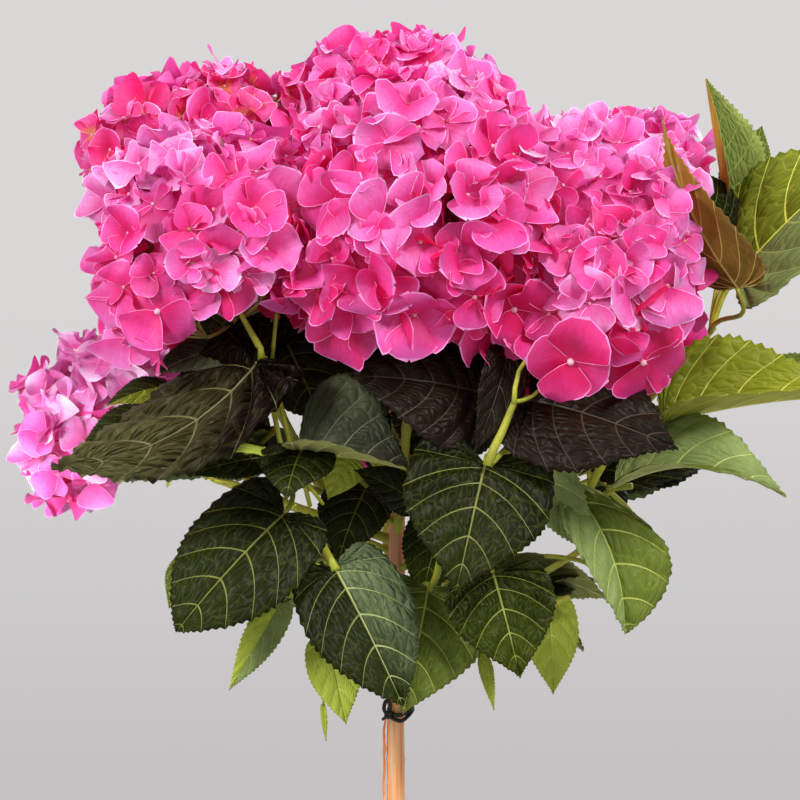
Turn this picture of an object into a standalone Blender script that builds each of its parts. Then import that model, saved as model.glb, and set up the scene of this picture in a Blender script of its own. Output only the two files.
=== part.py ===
"""A mophead hydrangea grown as a standard: one bare stem in a plain clay pot, with a round crown.

Metres, +Z up. The origin is the middle of the pot's flat underside, and -Y is the plant's front.
The stem stands on the soil, canes leave it in opposite pairs, and each cane carries one flower head.
Short leaf shoots leave it too. Flower heads and leaf masses are uneven closed solids, parted from
their neighbours by flat cuts, and hollowed where a cane or the stem passes.
"""

import math

import bmesh
import bpy
from mathutils import Matrix, Vector, noise

# ---- driving sizes ----------------------------------------------------------------------------
GAP = 0.0003  # clearance between pieces that touch
FACET_ALLOWANCE = 1.4  # a faceted shape grown at its corners grows less on its faces
WELD = 0.00001
SLIVER = 0.0004  # edges shorter than this are left out of a cut mass

POT_HEIGHT = 0.175
POT_RIM_RADIUS = 0.100
POT_FOOT_RADIUS = 0.070
POT_WALL = 0.006
POT_FLOOR = 0.010
COLLAR_HEIGHT = 0.036
COLLAR_STEP = 0.005  # how far the collar's foot stands out from the body
COLLAR_SLOPE = 0.0015
RIM_WALL = 0.0095
POT_EDGE = 0.002
TURN_STEPS = 32

POT_INNER_RIM = POT_RIM_RADIUS - RIM_WALL
POT_INNER_FOOT = POT_FOOT_RADIUS - POT_WALL

SOIL_BELOW_RIM = 0.018
SOIL_TOP = POT_HEIGHT - SOIL_BELOW_RIM

STEM_TOP = 0.662
STEM_RADIUS_LOW = 0.0066
STEM_RADIUS_HIGH = 0.0052
FLARE_RADIUS = 0.0110
FLARE_HEIGHT = 0.028
STEM_LEAN = -0.0035  # sideways shift of the tip
STEM_WAVE = 0.0009
STEM_WAVE_DEPTH = 0.7  # front-to-back share of the wave
STEM_WAVE_RATE = 9.0
STEM_ROWS = 14
FLARE_ROWS = (0.0, 0.25, 0.55)
STEM_SIDES = 3  # bevel resolution: ten sides

TIE_HEIGHT = 0.4895
TIE_BAND = 0.015
TIE_THICK = 0.0014
TIE_ROWS = ((0.0, 0.4), (0.15, 1.0), (0.85, 1.0), (1.0, 0.4))  # share of height, share of thickness

CANE_RADIUS = 0.0033
CANE_TIP_RADIUS = 0.0026
SHOOT_RADIUS = 0.0024
SHOOT_TIP_RADIUS = 0.0018
CANE_ROWS = 7
CANE_SIDES = 2  # bevel resolution: eight sides
OUT_SHARE = 0.30  # how far a cane first runs outwards, and upwards, before it bends
RISE_SHARE = 0.25
BACK_SHARE = 0.33  # and how far back, and down, from its end it is still bending
TURN_UP_SHARE = 0.45

HEAD_ROUGHNESS = 0.09  # unevenness of a flower head, as a share of its radius
LEAF_ROUGHNESS = 0.16  # and of a leaf mass
HEAD_GRAIN = 2.6  # bumps across a head
LEAF_GRAIN = 1.5
HEAD_MESH = (12, 9)  # sides and rings of a flower head's ball
LEAF_MESH = (11, 8)
SEED_STEP = Vector((7.3, 3.1, 1.7))

# ---- finishes: colour, roughness --------------------------------------------------------------
FINISHES = {
    "clay": ((0.55, 0.24, 0.14), 0.85),
    "compost": ((0.05, 0.03, 0.02), 0.95),
    "bark": ((0.60, 0.34, 0.20), 0.70),
    "tie": ((0.01, 0.01, 0.012), 0.60),
    "cane": ((0.36, 0.45, 0.10), 0.55),
    "petals": ((0.85, 0.09, 0.38), 0.60),
    "leaves": ((0.05, 0.13, 0.05), 0.50),
}

# Flower heads: centre, half sizes, and the height and heading (degrees, 0 = +X) of the cane's foot.
HEADS = {
    "head_left_back": ((-0.144, 0.062, 0.860), (0.074, 0.062, 0.056), 0.630, 150.0),
    "head_top": ((-0.006, 0.046, 0.884), (0.070, 0.060, 0.056), 0.650, 90.0),
    "head_centre": ((0.012, -0.088, 0.808), (0.088, 0.070, 0.092), 0.600, 282.0),
    "head_left_front": ((-0.122, -0.082, 0.786), (0.074, 0.066, 0.076), 0.560, 196.0),
    "head_right_front": ((0.132, -0.066, 0.780), (0.076, 0.070, 0.090), 0.556, 346.0),
    "head_right_back": ((0.146, 0.076, 0.826), (0.066, 0.060, 0.056), 0.642, 25.0),
    "head_low_left": ((-0.196, 0.014, 0.673), (0.056, 0.052, 0.060), 0.598, 166.0),
    "head_back_left": ((-0.106, 0.170, 0.766), (0.070, 0.062, 0.066), 0.606, 125.0),
    "head_back": ((0.026, 0.168, 0.806), (0.068, 0.062, 0.066), 0.618, 82.0),
    "head_back_right": ((0.138, 0.170, 0.730), (0.068, 0.062, 0.062), 0.584, 48.0),
    "head_low_back": ((-0.016, 0.214, 0.668), (0.058, 0.050, 0.054), 0.556, 95.0),
}

# Leaf masses: centre, half sizes, tilt about Y (degrees), and the foot and heading of their shoot.
LEAVES = {
    "leaves_left": ((-0.146, -0.098, 0.680), (0.080, 0.034, 0.036), 24.0, 0.610, 222.0),
    "leaves_left_inner": ((-0.034, -0.052, 0.672), (0.044, 0.046, 0.042), 0.0, 0.640, 240.0),
    "leaves_low_left": ((-0.100, -0.060, 0.573), (0.048, 0.038, 0.062), 12.0, 0.552, 222.0),
    "leaves_low_front": ((-0.006, -0.078, 0.540), (0.056, 0.034, 0.060), 0.0, 0.560, 268.0),
    "leaves_front": ((0.058, -0.086, 0.606), (0.048, 0.034, 0.064), 0.0, 0.580, 305.0),
    "leaves_centre": ((0.034, -0.070, 0.686), (0.050, 0.044, 0.036), 0.0, 0.630, 295.0),
    "leaves_right_inner": ((0.122, -0.074, 0.672), (0.050, 0.040, 0.034), 0.0, 0.618, 325.0),
    "leaves_right_upper": ((0.222, -0.038, 0.696), (0.076, 0.036, 0.023), -2.0, None, None),
    "leaves_right_lower": ((0.190, -0.040, 0.648), (0.058, 0.036, 0.024), -12.0, 0.526, 350.0),
    "leaves_low_right": ((0.138, -0.018, 0.580), (0.056, 0.036, 0.034), -46.0, 0.512, 8.0),
    "leaves_far_right": ((0.256, -0.012, 0.804), (0.080, 0.046, 0.046), 16.0, 0.540, 357.0),
    "leaves_high_right": ((0.208, -0.012, 0.856), (0.026, 0.032, 0.046), 18.0, None, None),
    "leaves_back_right": ((0.176, 0.116, 0.656), (0.062, 0.058, 0.046), -10.0, 0.596, 28.0),
    "leaves_back_left": ((-0.140, 0.128, 0.660), (0.062, 0.058, 0.048), 10.0, 0.590, 145.0),
    "leaves_low_back": ((0.080, 0.086, 0.564), (0.058, 0.050, 0.064), 0.0, 0.572, 62.0),
    "leaves_low_back_left": ((-0.064, 0.084, 0.578), (0.054, 0.048, 0.054), 0.0, 0.578, 122.0),
}


def clear_scene():
    for old in list(bpy.data.objects):
        bpy.data.objects.remove(old, do_unlink=True)


def collection(name):
    """A new collection linked to the scene."""
    made = bpy.data.collections.new(name)
    bpy.context.scene.collection.children.link(made)
    return made


def finish(name):
    """The Principled material of one finish, made once."""
    material = bpy.data.materials.get(name) or bpy.data.materials.new(name)
    colour, roughness = FINISHES[name]
    material.use_nodes = True
    shader = material.node_tree.nodes["Principled BSDF"]
    shader.inputs["Base Color"].default_value = (*colour, 1.0)
    shader.inputs["Roughness"].default_value = roughness
    shader.inputs["Metallic"].default_value = 0.0
    return material


def add_object(name, mesh, group, finish_name=None):
    """An object in its collection. One without a finish is a cutter."""
    made = bpy.data.objects.new(name, mesh)
    group.objects.link(made)
    if finish_name is None:
        made.hide_render = True
        made.display_type = "WIRE"
    else:
        mesh.materials.clear()
        mesh.materials.append(finish(finish_name))
    return made


def turned(name, profile, group, finish_name):
    """A profile of (radius, height) points, down the outer side, turned about Z with Screw."""
    mesh = bpy.data.meshes.new(name)
    outline = bmesh.new()
    points = [outline.verts.new((radius, 0.0, height)) for radius, height in profile]
    for here, following in zip(points, points[1:]):
        outline.edges.new((here, following))
    outline.to_mesh(mesh)
    outline.free()
    made = add_object(name, mesh, group, finish_name)
    screw = made.modifiers.new("turn", "SCREW")
    screw.steps = TURN_STEPS
    screw.render_steps = TURN_STEPS
    screw.use_merge_vertices = True
    screw.merge_threshold = 0.0001
    return made


def limb(name, path, radii, sides_level, group, finish_name=None):
    """A tapering tube along a path: a bevelled curve with filled caps, turned into a closed mesh."""
    curve = bpy.data.curves.new(name, "CURVE")
    curve.dimensions = "3D"
    curve.bevel_depth = 1.0
    curve.bevel_resolution = sides_level
    curve.use_fill_caps = True
    spline = curve.splines.new("POLY")
    spline.points.add(len(path) - 1)
    for point, place, radius in zip(spline.points, path, radii):
        point.co = (*place, 1.0)
        point.radius = radius
    source = bpy.data.objects.new(name + "_curve", curve)
    group.objects.link(source)
    bpy.context.view_layer.update()
    ready = source.evaluated_get(bpy.context.evaluated_depsgraph_get())
    mesh = bpy.data.meshes.new_from_object(ready)
    bpy.data.objects.remove(source, do_unlink=True)
    bpy.data.curves.remove(curve)
    weld = bmesh.new()
    weld.from_mesh(mesh)
    bmesh.ops.remove_doubles(weld, verts=weld.verts, dist=WELD)
    bmesh.ops.recalc_face_normals(weld, faces=weld.faces)
    weld.to_mesh(mesh)
    weld.free()
    mesh.name = name
    return add_object(name, mesh, group, finish_name)


def bezier(start, near_start, near_end, end, rows):
    """Points evenly spread in the parameter of a cubic curve."""
    points = []
    for row in range(rows):
        t = row / (rows - 1)
        s = 1.0 - t
        points.append(
            start * s**3 + near_start * (3 * s * s * t) + near_end * (3 * s * t * t) + end * t**3
        )
    return points


def stem_centre(height):
    """The stem's centre line: a slight lean with a slight wave, and upright in its flare."""
    share = max(0.0, height - SOIL_TOP - FLARE_HEIGHT) / (STEM_TOP - SOIL_TOP)
    wave = STEM_WAVE * math.sin(share * STEM_WAVE_RATE)
    return Vector((STEM_LEAN * share + wave, wave * STEM_WAVE_DEPTH, height))


def stem_radius(height):
    """Taper from low to high, with the flare at the foot."""
    share = (height - SOIL_TOP) / (STEM_TOP - SOIL_TOP)
    plain = STEM_RADIUS_LOW + (STEM_RADIUS_HIGH - STEM_RADIUS_LOW) * share
    near_foot = max(0.0, 1.0 - (height - SOIL_TOP) / FLARE_HEIGHT)
    return plain + (FLARE_RADIUS - STEM_RADIUS_LOW) * near_foot**2


def stem_rows():
    """Heights of the stem's rows: close together in the flare, then even."""
    foot = SOIL_TOP + GAP
    flare = [foot + FLARE_HEIGHT * share for share in FLARE_ROWS]
    top_of_flare = foot + FLARE_HEIGHT
    plain = [
        top_of_flare + (STEM_TOP - top_of_flare) * row / (STEM_ROWS - 1) for row in range(STEM_ROWS)
    ]
    return flare + plain


def stem(name, group, finish_name=None, extra=0.0):
    rows = stem_rows()
    path = [stem_centre(height) for height in rows]
    path[-1].z += extra
    radii = [stem_radius(height) + extra for height in rows]
    return limb(name, path, radii, STEM_SIDES, group, finish_name)


def pot(group):
    """A plain clay pot with a thick collar, its hollow open at the top."""
    collar_foot = POT_HEIGHT - COLLAR_HEIGHT
    collar_radius = POT_RIM_RADIUS - COLLAR_SLOPE
    profile = [
        (0.0, POT_FLOOR),
        (POT_INNER_FOOT, POT_FLOOR),
        (POT_INNER_RIM, POT_HEIGHT - POT_EDGE),
        (POT_INNER_RIM + POT_EDGE, POT_HEIGHT),
        (POT_RIM_RADIUS - POT_EDGE, POT_HEIGHT),
        (POT_RIM_RADIUS, POT_HEIGHT - POT_EDGE),
        (collar_radius, collar_foot + POT_EDGE),
        (collar_radius - POT_EDGE, collar_foot),
        (collar_radius - COLLAR_STEP, collar_foot),
        (POT_FOOT_RADIUS, POT_EDGE),
        (POT_FOOT_RADIUS - POT_EDGE, 0.0),
        (0.0, 0.0),
    ]
    return turned("pot", profile, group, "clay")


def soil(group):
    """The compost, filling the pot to below its rim."""
    slope = (POT_INNER_RIM - POT_INNER_FOOT) / (POT_HEIGHT - POT_EDGE - POT_FLOOR)
    top_radius = POT_INNER_FOOT + slope * (SOIL_TOP - POT_FLOOR) - 2 * GAP
    profile = [
        (0.0, SOIL_TOP),
        (top_radius, SOIL_TOP),
        (POT_INNER_FOOT - 2 * GAP, POT_FLOOR + GAP),
        (0.0, POT_FLOOR + GAP),
    ]
    return turned("soil", profile, group, "compost")


def tie(group):
    """A soft black band round the stem, just under the leaves."""
    low = TIE_HEIGHT - TIE_BAND / 2
    heights = [low + TIE_BAND * share for share, _ in TIE_ROWS]
    path = [stem_centre(height) for height in heights]
    radii = []
    for height, (_, thickness) in zip(heights, TIE_ROWS):
        radii.append(stem_radius(height) + GAP + TIE_THICK * thickness)
    return limb("tie", path, radii, STEM_SIDES, group, "tie")


def uneven(mesh, half_sizes, tilt, centre, roughness, grain, seed):
    """Shapes a unit ball into an uneven, tilted ellipsoid at its place. Its bumps are smooth noise."""
    turn = Matrix.Rotation(math.radians(-tilt), 4, "Y")
    for vertex in mesh.verts:
        ray = vertex.co.normalized()
        bump = noise.noise(ray * grain + SEED_STEP * seed)
        length = 1.0 + roughness * bump * 2.0
        stretched = Vector([part * half * length for part, half in zip(ray, half_sizes)])
        vertex.co = centre + turn @ stretched


def reach(half_sizes, tilt, direction):
    """How far a tilted ellipsoid reaches along a direction."""
    local = Matrix.Rotation(math.radians(tilt), 3, "Y") @ direction
    return math.sqrt(sum((part * half) ** 2 for part, half in zip(local, half_sizes)))


def slice_off(mesh, place, normal):
    """Removes what lies beyond a plane and closes the cut."""
    found = bmesh.ops.bisect_plane(
        mesh,
        geom=mesh.verts[:] + mesh.edges[:] + mesh.faces[:],
        dist=WELD / 10,
        plane_co=place,
        plane_no=normal,
        clear_outer=True,
    )
    rim = [piece for piece in found["geom_cut"] if isinstance(piece, bmesh.types.BMEdge)]
    if rim:
        bmesh.ops.holes_fill(mesh, edges=rim, sides=0)


def cutting_planes(name, sizes):
    """The planes that part a mass from each neighbour whose ellipsoid reaches into it."""
    centre, half_sizes, tilt = sizes[name]
    planes = []
    for other, (other_centre, other_halves, other_tilt) in sizes.items():
        if other == name:
            continue
        between = other_centre - centre
        distance = between.length
        direction = between.normalized()
        mine = reach(half_sizes, tilt, direction)
        theirs = reach(other_halves, other_tilt, direction)
        slack = 1.0 + 2.0 * LEAF_ROUGHNESS
        if (mine + theirs) * slack > distance:
            share = distance * mine / (mine + theirs) - GAP / 2
            planes.append((centre + direction * share, direction))
    return planes


def mass(name, sizes, build, seed, group, finish_name):
    """An uneven closed solid, parted from its neighbours by planes."""
    centre, half_sizes, tilt = sizes[name]
    (sides, rings), roughness, grain = build
    body = bmesh.new()
    bmesh.ops.create_uvsphere(body, u_segments=sides, v_segments=rings, radius=1.0)
    uneven(body, half_sizes, tilt, centre, roughness, grain, seed)
    for place, normal in cutting_planes(name, sizes):
        slice_off(body, place, normal)
    bmesh.ops.remove_doubles(body, verts=body.verts, dist=SLIVER)
    bmesh.ops.dissolve_degenerate(body, edges=body.edges, dist=SLIVER / 2)
    bmesh.ops.triangulate(body, faces=body.faces)
    bmesh.ops.recalc_face_normals(body, faces=body.faces)
    mesh = bpy.data.meshes.new(name)
    body.to_mesh(mesh)
    body.free()
    return add_object(name, mesh, group, finish_name)


def grown(piece, group):
    """A cutter: the piece's own shape, larger by the gap all over."""
    mesh = piece.data.copy()
    mesh.materials.clear()
    larger = bmesh.new()
    larger.from_mesh(mesh)
    larger.normal_update()
    for vertex in larger.verts:
        vertex.co += vertex.normal * GAP * FACET_ALLOWANCE
    larger.to_mesh(mesh)
    larger.free()
    return add_object(piece.name + "_cutter", mesh, group)


def cut(piece, cutter):
    boolean = piece.modifiers.new("cut_" + cutter.name, "BOOLEAN")
    boolean.operation = "DIFFERENCE"
    boolean.object = cutter
    boolean.solver = "EXACT"


def cane_path(foot_height, heading, end):
    """From the stem's centre up and out along the heading, then steeper into what it carries."""
    start = stem_centre(foot_height)
    out = Vector((math.cos(math.radians(heading)), math.sin(math.radians(heading)), 0.0))
    across = (end - start).to_2d()
    rise = end.z - start.z
    near_start = start + out * across.length * OUT_SHARE + Vector((0.0, 0.0, max(rise, 0.0) * RISE_SHARE))
    near_end = end - Vector((across.x * BACK_SHARE, across.y * BACK_SHARE, rise * TURN_UP_SHARE))
    return bezier(start, near_start, near_end, end, CANE_ROWS)


def cane(name, path, radius, tip_radius, group, finish_name=None, extra=0.0):
    rows = len(path) - 1
    radii = [radius + (tip_radius - radius) * row / rows + extra for row in range(rows + 1)]
    return limb(name, path, radii, CANE_SIDES, group, finish_name)


def boxes_meet(first, second):
    """Whether two objects' boxes overlap."""
    corners = []
    for piece in (first, second):
        places = [vertex.co for vertex in piece.data.vertices]
        low = Vector([min(place[axis] for place in places) for axis in range(3)])
        high = Vector([max(place[axis] for place in places) for axis in range(3)])
        corners.append((low, high))
    (low_a, high_a), (low_b, high_b) = corners
    return all(low_a[axis] < high_b[axis] and low_b[axis] < high_a[axis] for axis in range(3))


def main():
    clear_scene()
    parts = collection("hydrangea")
    cutters = collection("cutters")

    pot(parts)
    soil(parts)
    trunk = stem("stem", parts, "bark")
    trunk_cutter = stem("stem_cutter", cutters, None, GAP)
    band = tie(parts)
    cut(band, trunk_cutter)

    sizes = {name: (Vector(row[0]), row[1], 0.0) for name, row in HEADS.items()}
    sizes.update({name: (Vector(row[0]), row[1], row[2]) for name, row in LEAVES.items()})

    head_build = (HEAD_MESH, HEAD_ROUGHNESS, HEAD_GRAIN)
    leaf_build = (LEAF_MESH, LEAF_ROUGHNESS, LEAF_GRAIN)
    masses = {}
    for seed, name in enumerate(sizes):
        if name in HEADS:
            masses[name] = mass(name, sizes, head_build, seed, parts, "petals")
        else:
            masses[name] = mass(name, sizes, leaf_build, seed, parts, "leaves")

    carriers = [(name, row[2], row[3]) for name, row in HEADS.items()]
    carriers += [(name, row[3], row[4]) for name, row in LEAVES.items() if row[3] is not None]
    passing = {"stem": trunk_cutter}
    for name, foot_height, heading in carriers:
        path = cane_path(foot_height, heading, sizes[name][0])
        if name in HEADS:
            limb_name = name.replace("head", "cane")
            thick, thin = CANE_RADIUS, CANE_TIP_RADIUS
        else:
            limb_name = name.replace("leaves", "shoot")
            thick, thin = SHOOT_RADIUS, SHOOT_TIP_RADIUS
        piece = cane(limb_name, path, thick, thin, parts, "cane")
        cut(piece, trunk_cutter)
        cut(piece, grown(masses[name], cutters))
        passing[name] = cane(limb_name + "_cutter", path, thick, thin, cutters, None, GAP)

    for name in LEAVES:
        for carried, cutter in passing.items():
            if carried != name and boxes_meet(masses[name], cutter):
                cut(masses[name], cutter)


main()
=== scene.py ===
# %% [markdown]
# # A mophead hydrangea on a bare stem
# The plant is a standard: one woody stem in a clay pot, with canes that fork from its top. Every cane
# ends in a round head of pink flowers, and big toothed leaves hang under the heads. The solid model
# gives each limb, head and leaf mass its place. This script grows the real thing inside those places.

# %% Load the frame
import math

import bmesh
import bpy
import numpy as np
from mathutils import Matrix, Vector, noise


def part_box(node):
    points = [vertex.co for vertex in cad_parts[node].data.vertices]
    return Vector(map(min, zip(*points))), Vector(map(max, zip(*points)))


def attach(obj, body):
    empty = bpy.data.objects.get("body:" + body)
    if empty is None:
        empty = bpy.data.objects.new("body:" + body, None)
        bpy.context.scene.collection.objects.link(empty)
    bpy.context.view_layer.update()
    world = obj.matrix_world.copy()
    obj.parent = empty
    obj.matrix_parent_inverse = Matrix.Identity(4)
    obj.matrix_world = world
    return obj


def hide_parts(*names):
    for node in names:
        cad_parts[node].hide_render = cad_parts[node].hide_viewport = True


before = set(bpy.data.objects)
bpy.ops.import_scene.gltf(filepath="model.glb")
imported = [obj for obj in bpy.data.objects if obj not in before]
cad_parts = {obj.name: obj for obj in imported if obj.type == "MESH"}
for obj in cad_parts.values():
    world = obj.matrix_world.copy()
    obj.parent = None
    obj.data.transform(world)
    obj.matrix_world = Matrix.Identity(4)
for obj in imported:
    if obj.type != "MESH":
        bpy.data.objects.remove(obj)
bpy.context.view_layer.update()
print("solid nodes:", len(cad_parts))

# %% [markdown]
# ## The view
# The camera stands level with the crown, far enough back for a flat, portrait-like look. Several leaves
# are placed by where they stand in this view, so one helper turns a place in an 800 by 800 frame, and
# a depth behind the stem, into a point in metres.

# %% Camera
VIEW_SIZE = 800
VIEW_WIDTH = 0.52
VIEW_DISTANCE = 2.5
VIEW_HEIGHT = 0.69
SENSOR = 36.0

camera_data = bpy.data.cameras.new("view")
camera_data.sensor_width = SENSOR
camera_data.lens = SENSOR * VIEW_DISTANCE / VIEW_WIDTH
camera = bpy.data.objects.new("view", camera_data)
camera.location = (0.0, -VIEW_DISTANCE, VIEW_HEIGHT)
camera.rotation_euler = (math.radians(90.0), 0.0, 0.0)
bpy.context.scene.collection.objects.link(camera)
bpy.context.scene.camera = camera


def seen_at(across, down, depth):
    """The point seen at a place in the view, in pixels, lying depth metres behind the stem."""
    metres = VIEW_WIDTH / VIEW_SIZE * (VIEW_DISTANCE + depth) / VIEW_DISTANCE
    middle = VIEW_SIZE / 2
    return np.array([(across - middle) * metres, depth, VIEW_HEIGHT + (middle - down) * metres])


print("lens:", round(camera_data.lens, 1), "mm")

# %% [markdown]
# ## The plan of the plant
# These are the sizes that the solid model is built from: the stem, the cane of every flower head and
# the leaf masses. Growing from the same numbers keeps each visible limb inside its solid.

# %% Stem, heads and leaf masses
SOIL_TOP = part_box("soil")[1].z
STEM_TOP = 0.662
STEM_RADIUS_LOW = 0.0066
STEM_RADIUS_HIGH = 0.0052
FLARE_RADIUS = 0.011
FLARE_HEIGHT = 0.028
STEM_LEAN = -0.0035
STEM_WAVE = 0.0009
STEM_WAVE_DEPTH = 0.7
STEM_WAVE_RATE = 9.0
CANE_RADIUS = 0.0033
CANE_TIP_RADIUS = 0.0026
SHOOT_RADIUS = 0.0024
SHOOT_TIP_RADIUS = 0.0018
OUT_SHARE = 0.3
RISE_SHARE = 0.25
BACK_SHARE = 0.33
TURN_UP_SHARE = 0.45

# Centre, half sizes, height and heading of the cane's foot, floret radius at the top and at the bottom,
# and how much darker (+) or paler (-) than usual the colour is dealt: partly the head's own tone, partly
# painted shade and light, as on the low head at the left, painted paler where the crown shades it.
HEADS = {
    "head_left_back": ((-0.144, 0.062, 0.86), (0.074, 0.062, 0.056), 0.63, 150.0, 0.0155, 0.0175, 0.0),
    "head_top": ((-0.006, 0.046, 0.884), (0.07, 0.06, 0.056), 0.65, 90.0, 0.016, 0.018, -0.3),
    "head_centre": ((0.012, -0.088, 0.808), (0.088, 0.07, 0.092), 0.6, 282.0, 0.016, 0.024, 0.1),
    "head_left_front": ((-0.122, -0.082, 0.786), (0.074, 0.066, 0.076), 0.56, 196.0, 0.0165, 0.0205, 0.0),
    "head_right_front": ((0.132, -0.066, 0.78), (0.076, 0.07, 0.09), 0.556, 346.0, 0.016, 0.024, 0.0),
    "head_right_back": ((0.146, 0.076, 0.826), (0.066, 0.06, 0.056), 0.642, 25.0, 0.0155, 0.0175, -0.3),
    "head_low_left": ((-0.196, 0.014, 0.673), (0.056, 0.052, 0.06), 0.598, 166.0, 0.0145, 0.0165, -1.5),
    "head_back_left": ((-0.106, 0.17, 0.766), (0.07, 0.062, 0.066), 0.606, 125.0, 0.0165, 0.0205, 0.0),
    "head_back": ((0.026, 0.168, 0.806), (0.068, 0.062, 0.066), 0.618, 82.0, 0.0165, 0.0205, 0.0),
    "head_back_right": ((0.138, 0.17, 0.73), (0.068, 0.062, 0.062), 0.584, 48.0, 0.0165, 0.0205, 0.0),
    "head_low_back": ((-0.016, 0.214, 0.668), (0.058, 0.05, 0.054), 0.556, 95.0, 0.015, 0.0175, -0.5),
}

# Centre, half sizes, height and heading of the shoot's foot, and how many leaves a rule adds.
LEAF_MASSES = {
    "leaves_left": ((-0.146, -0.098, 0.68), (0.08, 0.034, 0.036), 0.61, 222.0, 0),
    "leaves_left_inner": ((-0.034, -0.052, 0.672), (0.044, 0.046, 0.042), 0.64, 240.0, 0),
    "leaves_low_left": ((-0.1, -0.06, 0.573), (0.048, 0.038, 0.062), 0.552, 222.0, 0),
    "leaves_low_front": ((-0.006, -0.078, 0.54), (0.056, 0.034, 0.06), 0.56, 268.0, 0),
    "leaves_front": ((0.058, -0.086, 0.606), (0.048, 0.034, 0.064), 0.58, 305.0, 0),
    "leaves_centre": ((0.034, -0.07, 0.686), (0.05, 0.044, 0.036), 0.63, 295.0, 0),
    "leaves_right_inner": ((0.122, -0.074, 0.672), (0.05, 0.04, 0.034), 0.618, 325.0, 0),
    "leaves_right_upper": ((0.222, -0.038, 0.696), (0.076, 0.036, 0.023), None, None, 0),
    "leaves_right_lower": ((0.19, -0.04, 0.648), (0.058, 0.036, 0.024), 0.526, 350.0, 0),
    "leaves_low_right": ((0.138, -0.018, 0.58), (0.056, 0.036, 0.034), 0.512, 8.0, 0),
    "leaves_far_right": ((0.256, -0.012, 0.804), (0.08, 0.046, 0.046), 0.54, 357.0, 0),
    "leaves_high_right": ((0.208, -0.012, 0.856), (0.026, 0.032, 0.046), None, None, 0),
    "leaves_back_right": ((0.176, 0.116, 0.656), (0.062, 0.058, 0.046), 0.596, 28.0, 8),
    "leaves_back_left": ((-0.14, 0.128, 0.66), (0.062, 0.058, 0.048), 0.59, 145.0, 8),
    "leaves_low_back": ((0.08, 0.086, 0.564), (0.058, 0.05, 0.064), 0.572, 62.0, 7),
    "leaves_low_back_left": ((-0.064, 0.084, 0.578), (0.054, 0.048, 0.054), 0.578, 122.0, 7),
}


def stem_centre(height):
    """The stem's centre line: a slight lean and wave above an upright foot."""
    share = max(0.0, height - SOIL_TOP - FLARE_HEIGHT) / (STEM_TOP - SOIL_TOP)
    wave = STEM_WAVE * math.sin(share * STEM_WAVE_RATE)
    return np.array([STEM_LEAN * share + wave, wave * STEM_WAVE_DEPTH, height])


def stem_radius(height):
    share = (height - SOIL_TOP) / (STEM_TOP - SOIL_TOP)
    plain = STEM_RADIUS_LOW + (STEM_RADIUS_HIGH - STEM_RADIUS_LOW) * share
    near_foot = max(0.0, 1.0 - (height - SOIL_TOP) / FLARE_HEIGHT)
    return plain + (FLARE_RADIUS - STEM_RADIUS_LOW) * near_foot**2


def bezier(start, near_start, near_end, end, rows):
    """Points along a cubic curve."""
    t = np.linspace(0.0, 1.0, rows)[:, None]
    s = 1.0 - t
    return start * s**3 + near_start * 3 * s * s * t + near_end * 3 * s * t * t + end * t**3


def cane_path(foot_height, heading, end, rows):
    """From the stem up and out along the heading, then steeper into what the cane carries."""
    start = stem_centre(foot_height)
    out = np.array([math.cos(math.radians(heading)), math.sin(math.radians(heading)), 0.0])
    across = (end - start) * [1.0, 1.0, 0.0]
    rise = (end - start) * [0.0, 0.0, 1.0]
    near_start = start + out * np.linalg.norm(across) * OUT_SHARE + np.maximum(rise, 0.0) * RISE_SHARE
    near_end = end - across * BACK_SHARE - rise * TURN_UP_SHARE
    return bezier(start, near_start, near_end, end, rows)


print("heads:", len(HEADS), "leaf masses:", len(LEAF_MASSES))

# %% [markdown]
# ## Working with arrays
# A crown like this holds thousands of sepals. Each shape is modelled once with mesh operators, read
# into arrays, and then copied, bent and placed by arithmetic. One helper joins all the copies into a
# single object, gives each face its material, and stores a small UV map that follows the shape.

# %% Joining copies
WELD = 0.000002


def template(sheet):
    """A modelled sheet as arrays: corner places, faces as corner numbers, and which faces are at the rim."""
    sheet.verts.index_update()
    places = np.array([vertex.co[:] for vertex in sheet.verts])
    faces = np.array([[vertex.index for vertex in face.verts] for face in sheet.faces])
    rim = np.array([any(edge.is_boundary for edge in face.edges) for face in sheet.faces])
    sheet.free()
    return places, faces, rim


def shown(name, mesh, materials):
    """The mesh as a smooth-shaded object in the scene."""
    for material in materials:
        mesh.materials.append(material)
    mesh.shade_smooth()
    made = bpy.data.objects.new(name, mesh)
    bpy.context.scene.collection.objects.link(made)
    return made


def finished(name, sheet, materials):
    """An object from a mesh that was modelled with bmesh."""
    mesh = bpy.data.meshes.new(name)
    sheet.to_mesh(mesh)
    sheet.free()
    return shown(name, mesh, materials)


def weld_corners(mesh, recalculate=False):
    """Merges corners that lie on each other, and can turn every face outwards afterwards."""
    merged = bmesh.new()
    merged.from_mesh(mesh)
    bmesh.ops.remove_doubles(merged, verts=merged.verts, dist=WELD)
    if recalculate:
        bmesh.ops.recalc_face_normals(merged, faces=merged.faces)
    merged.to_mesh(mesh)
    merged.free()


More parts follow.
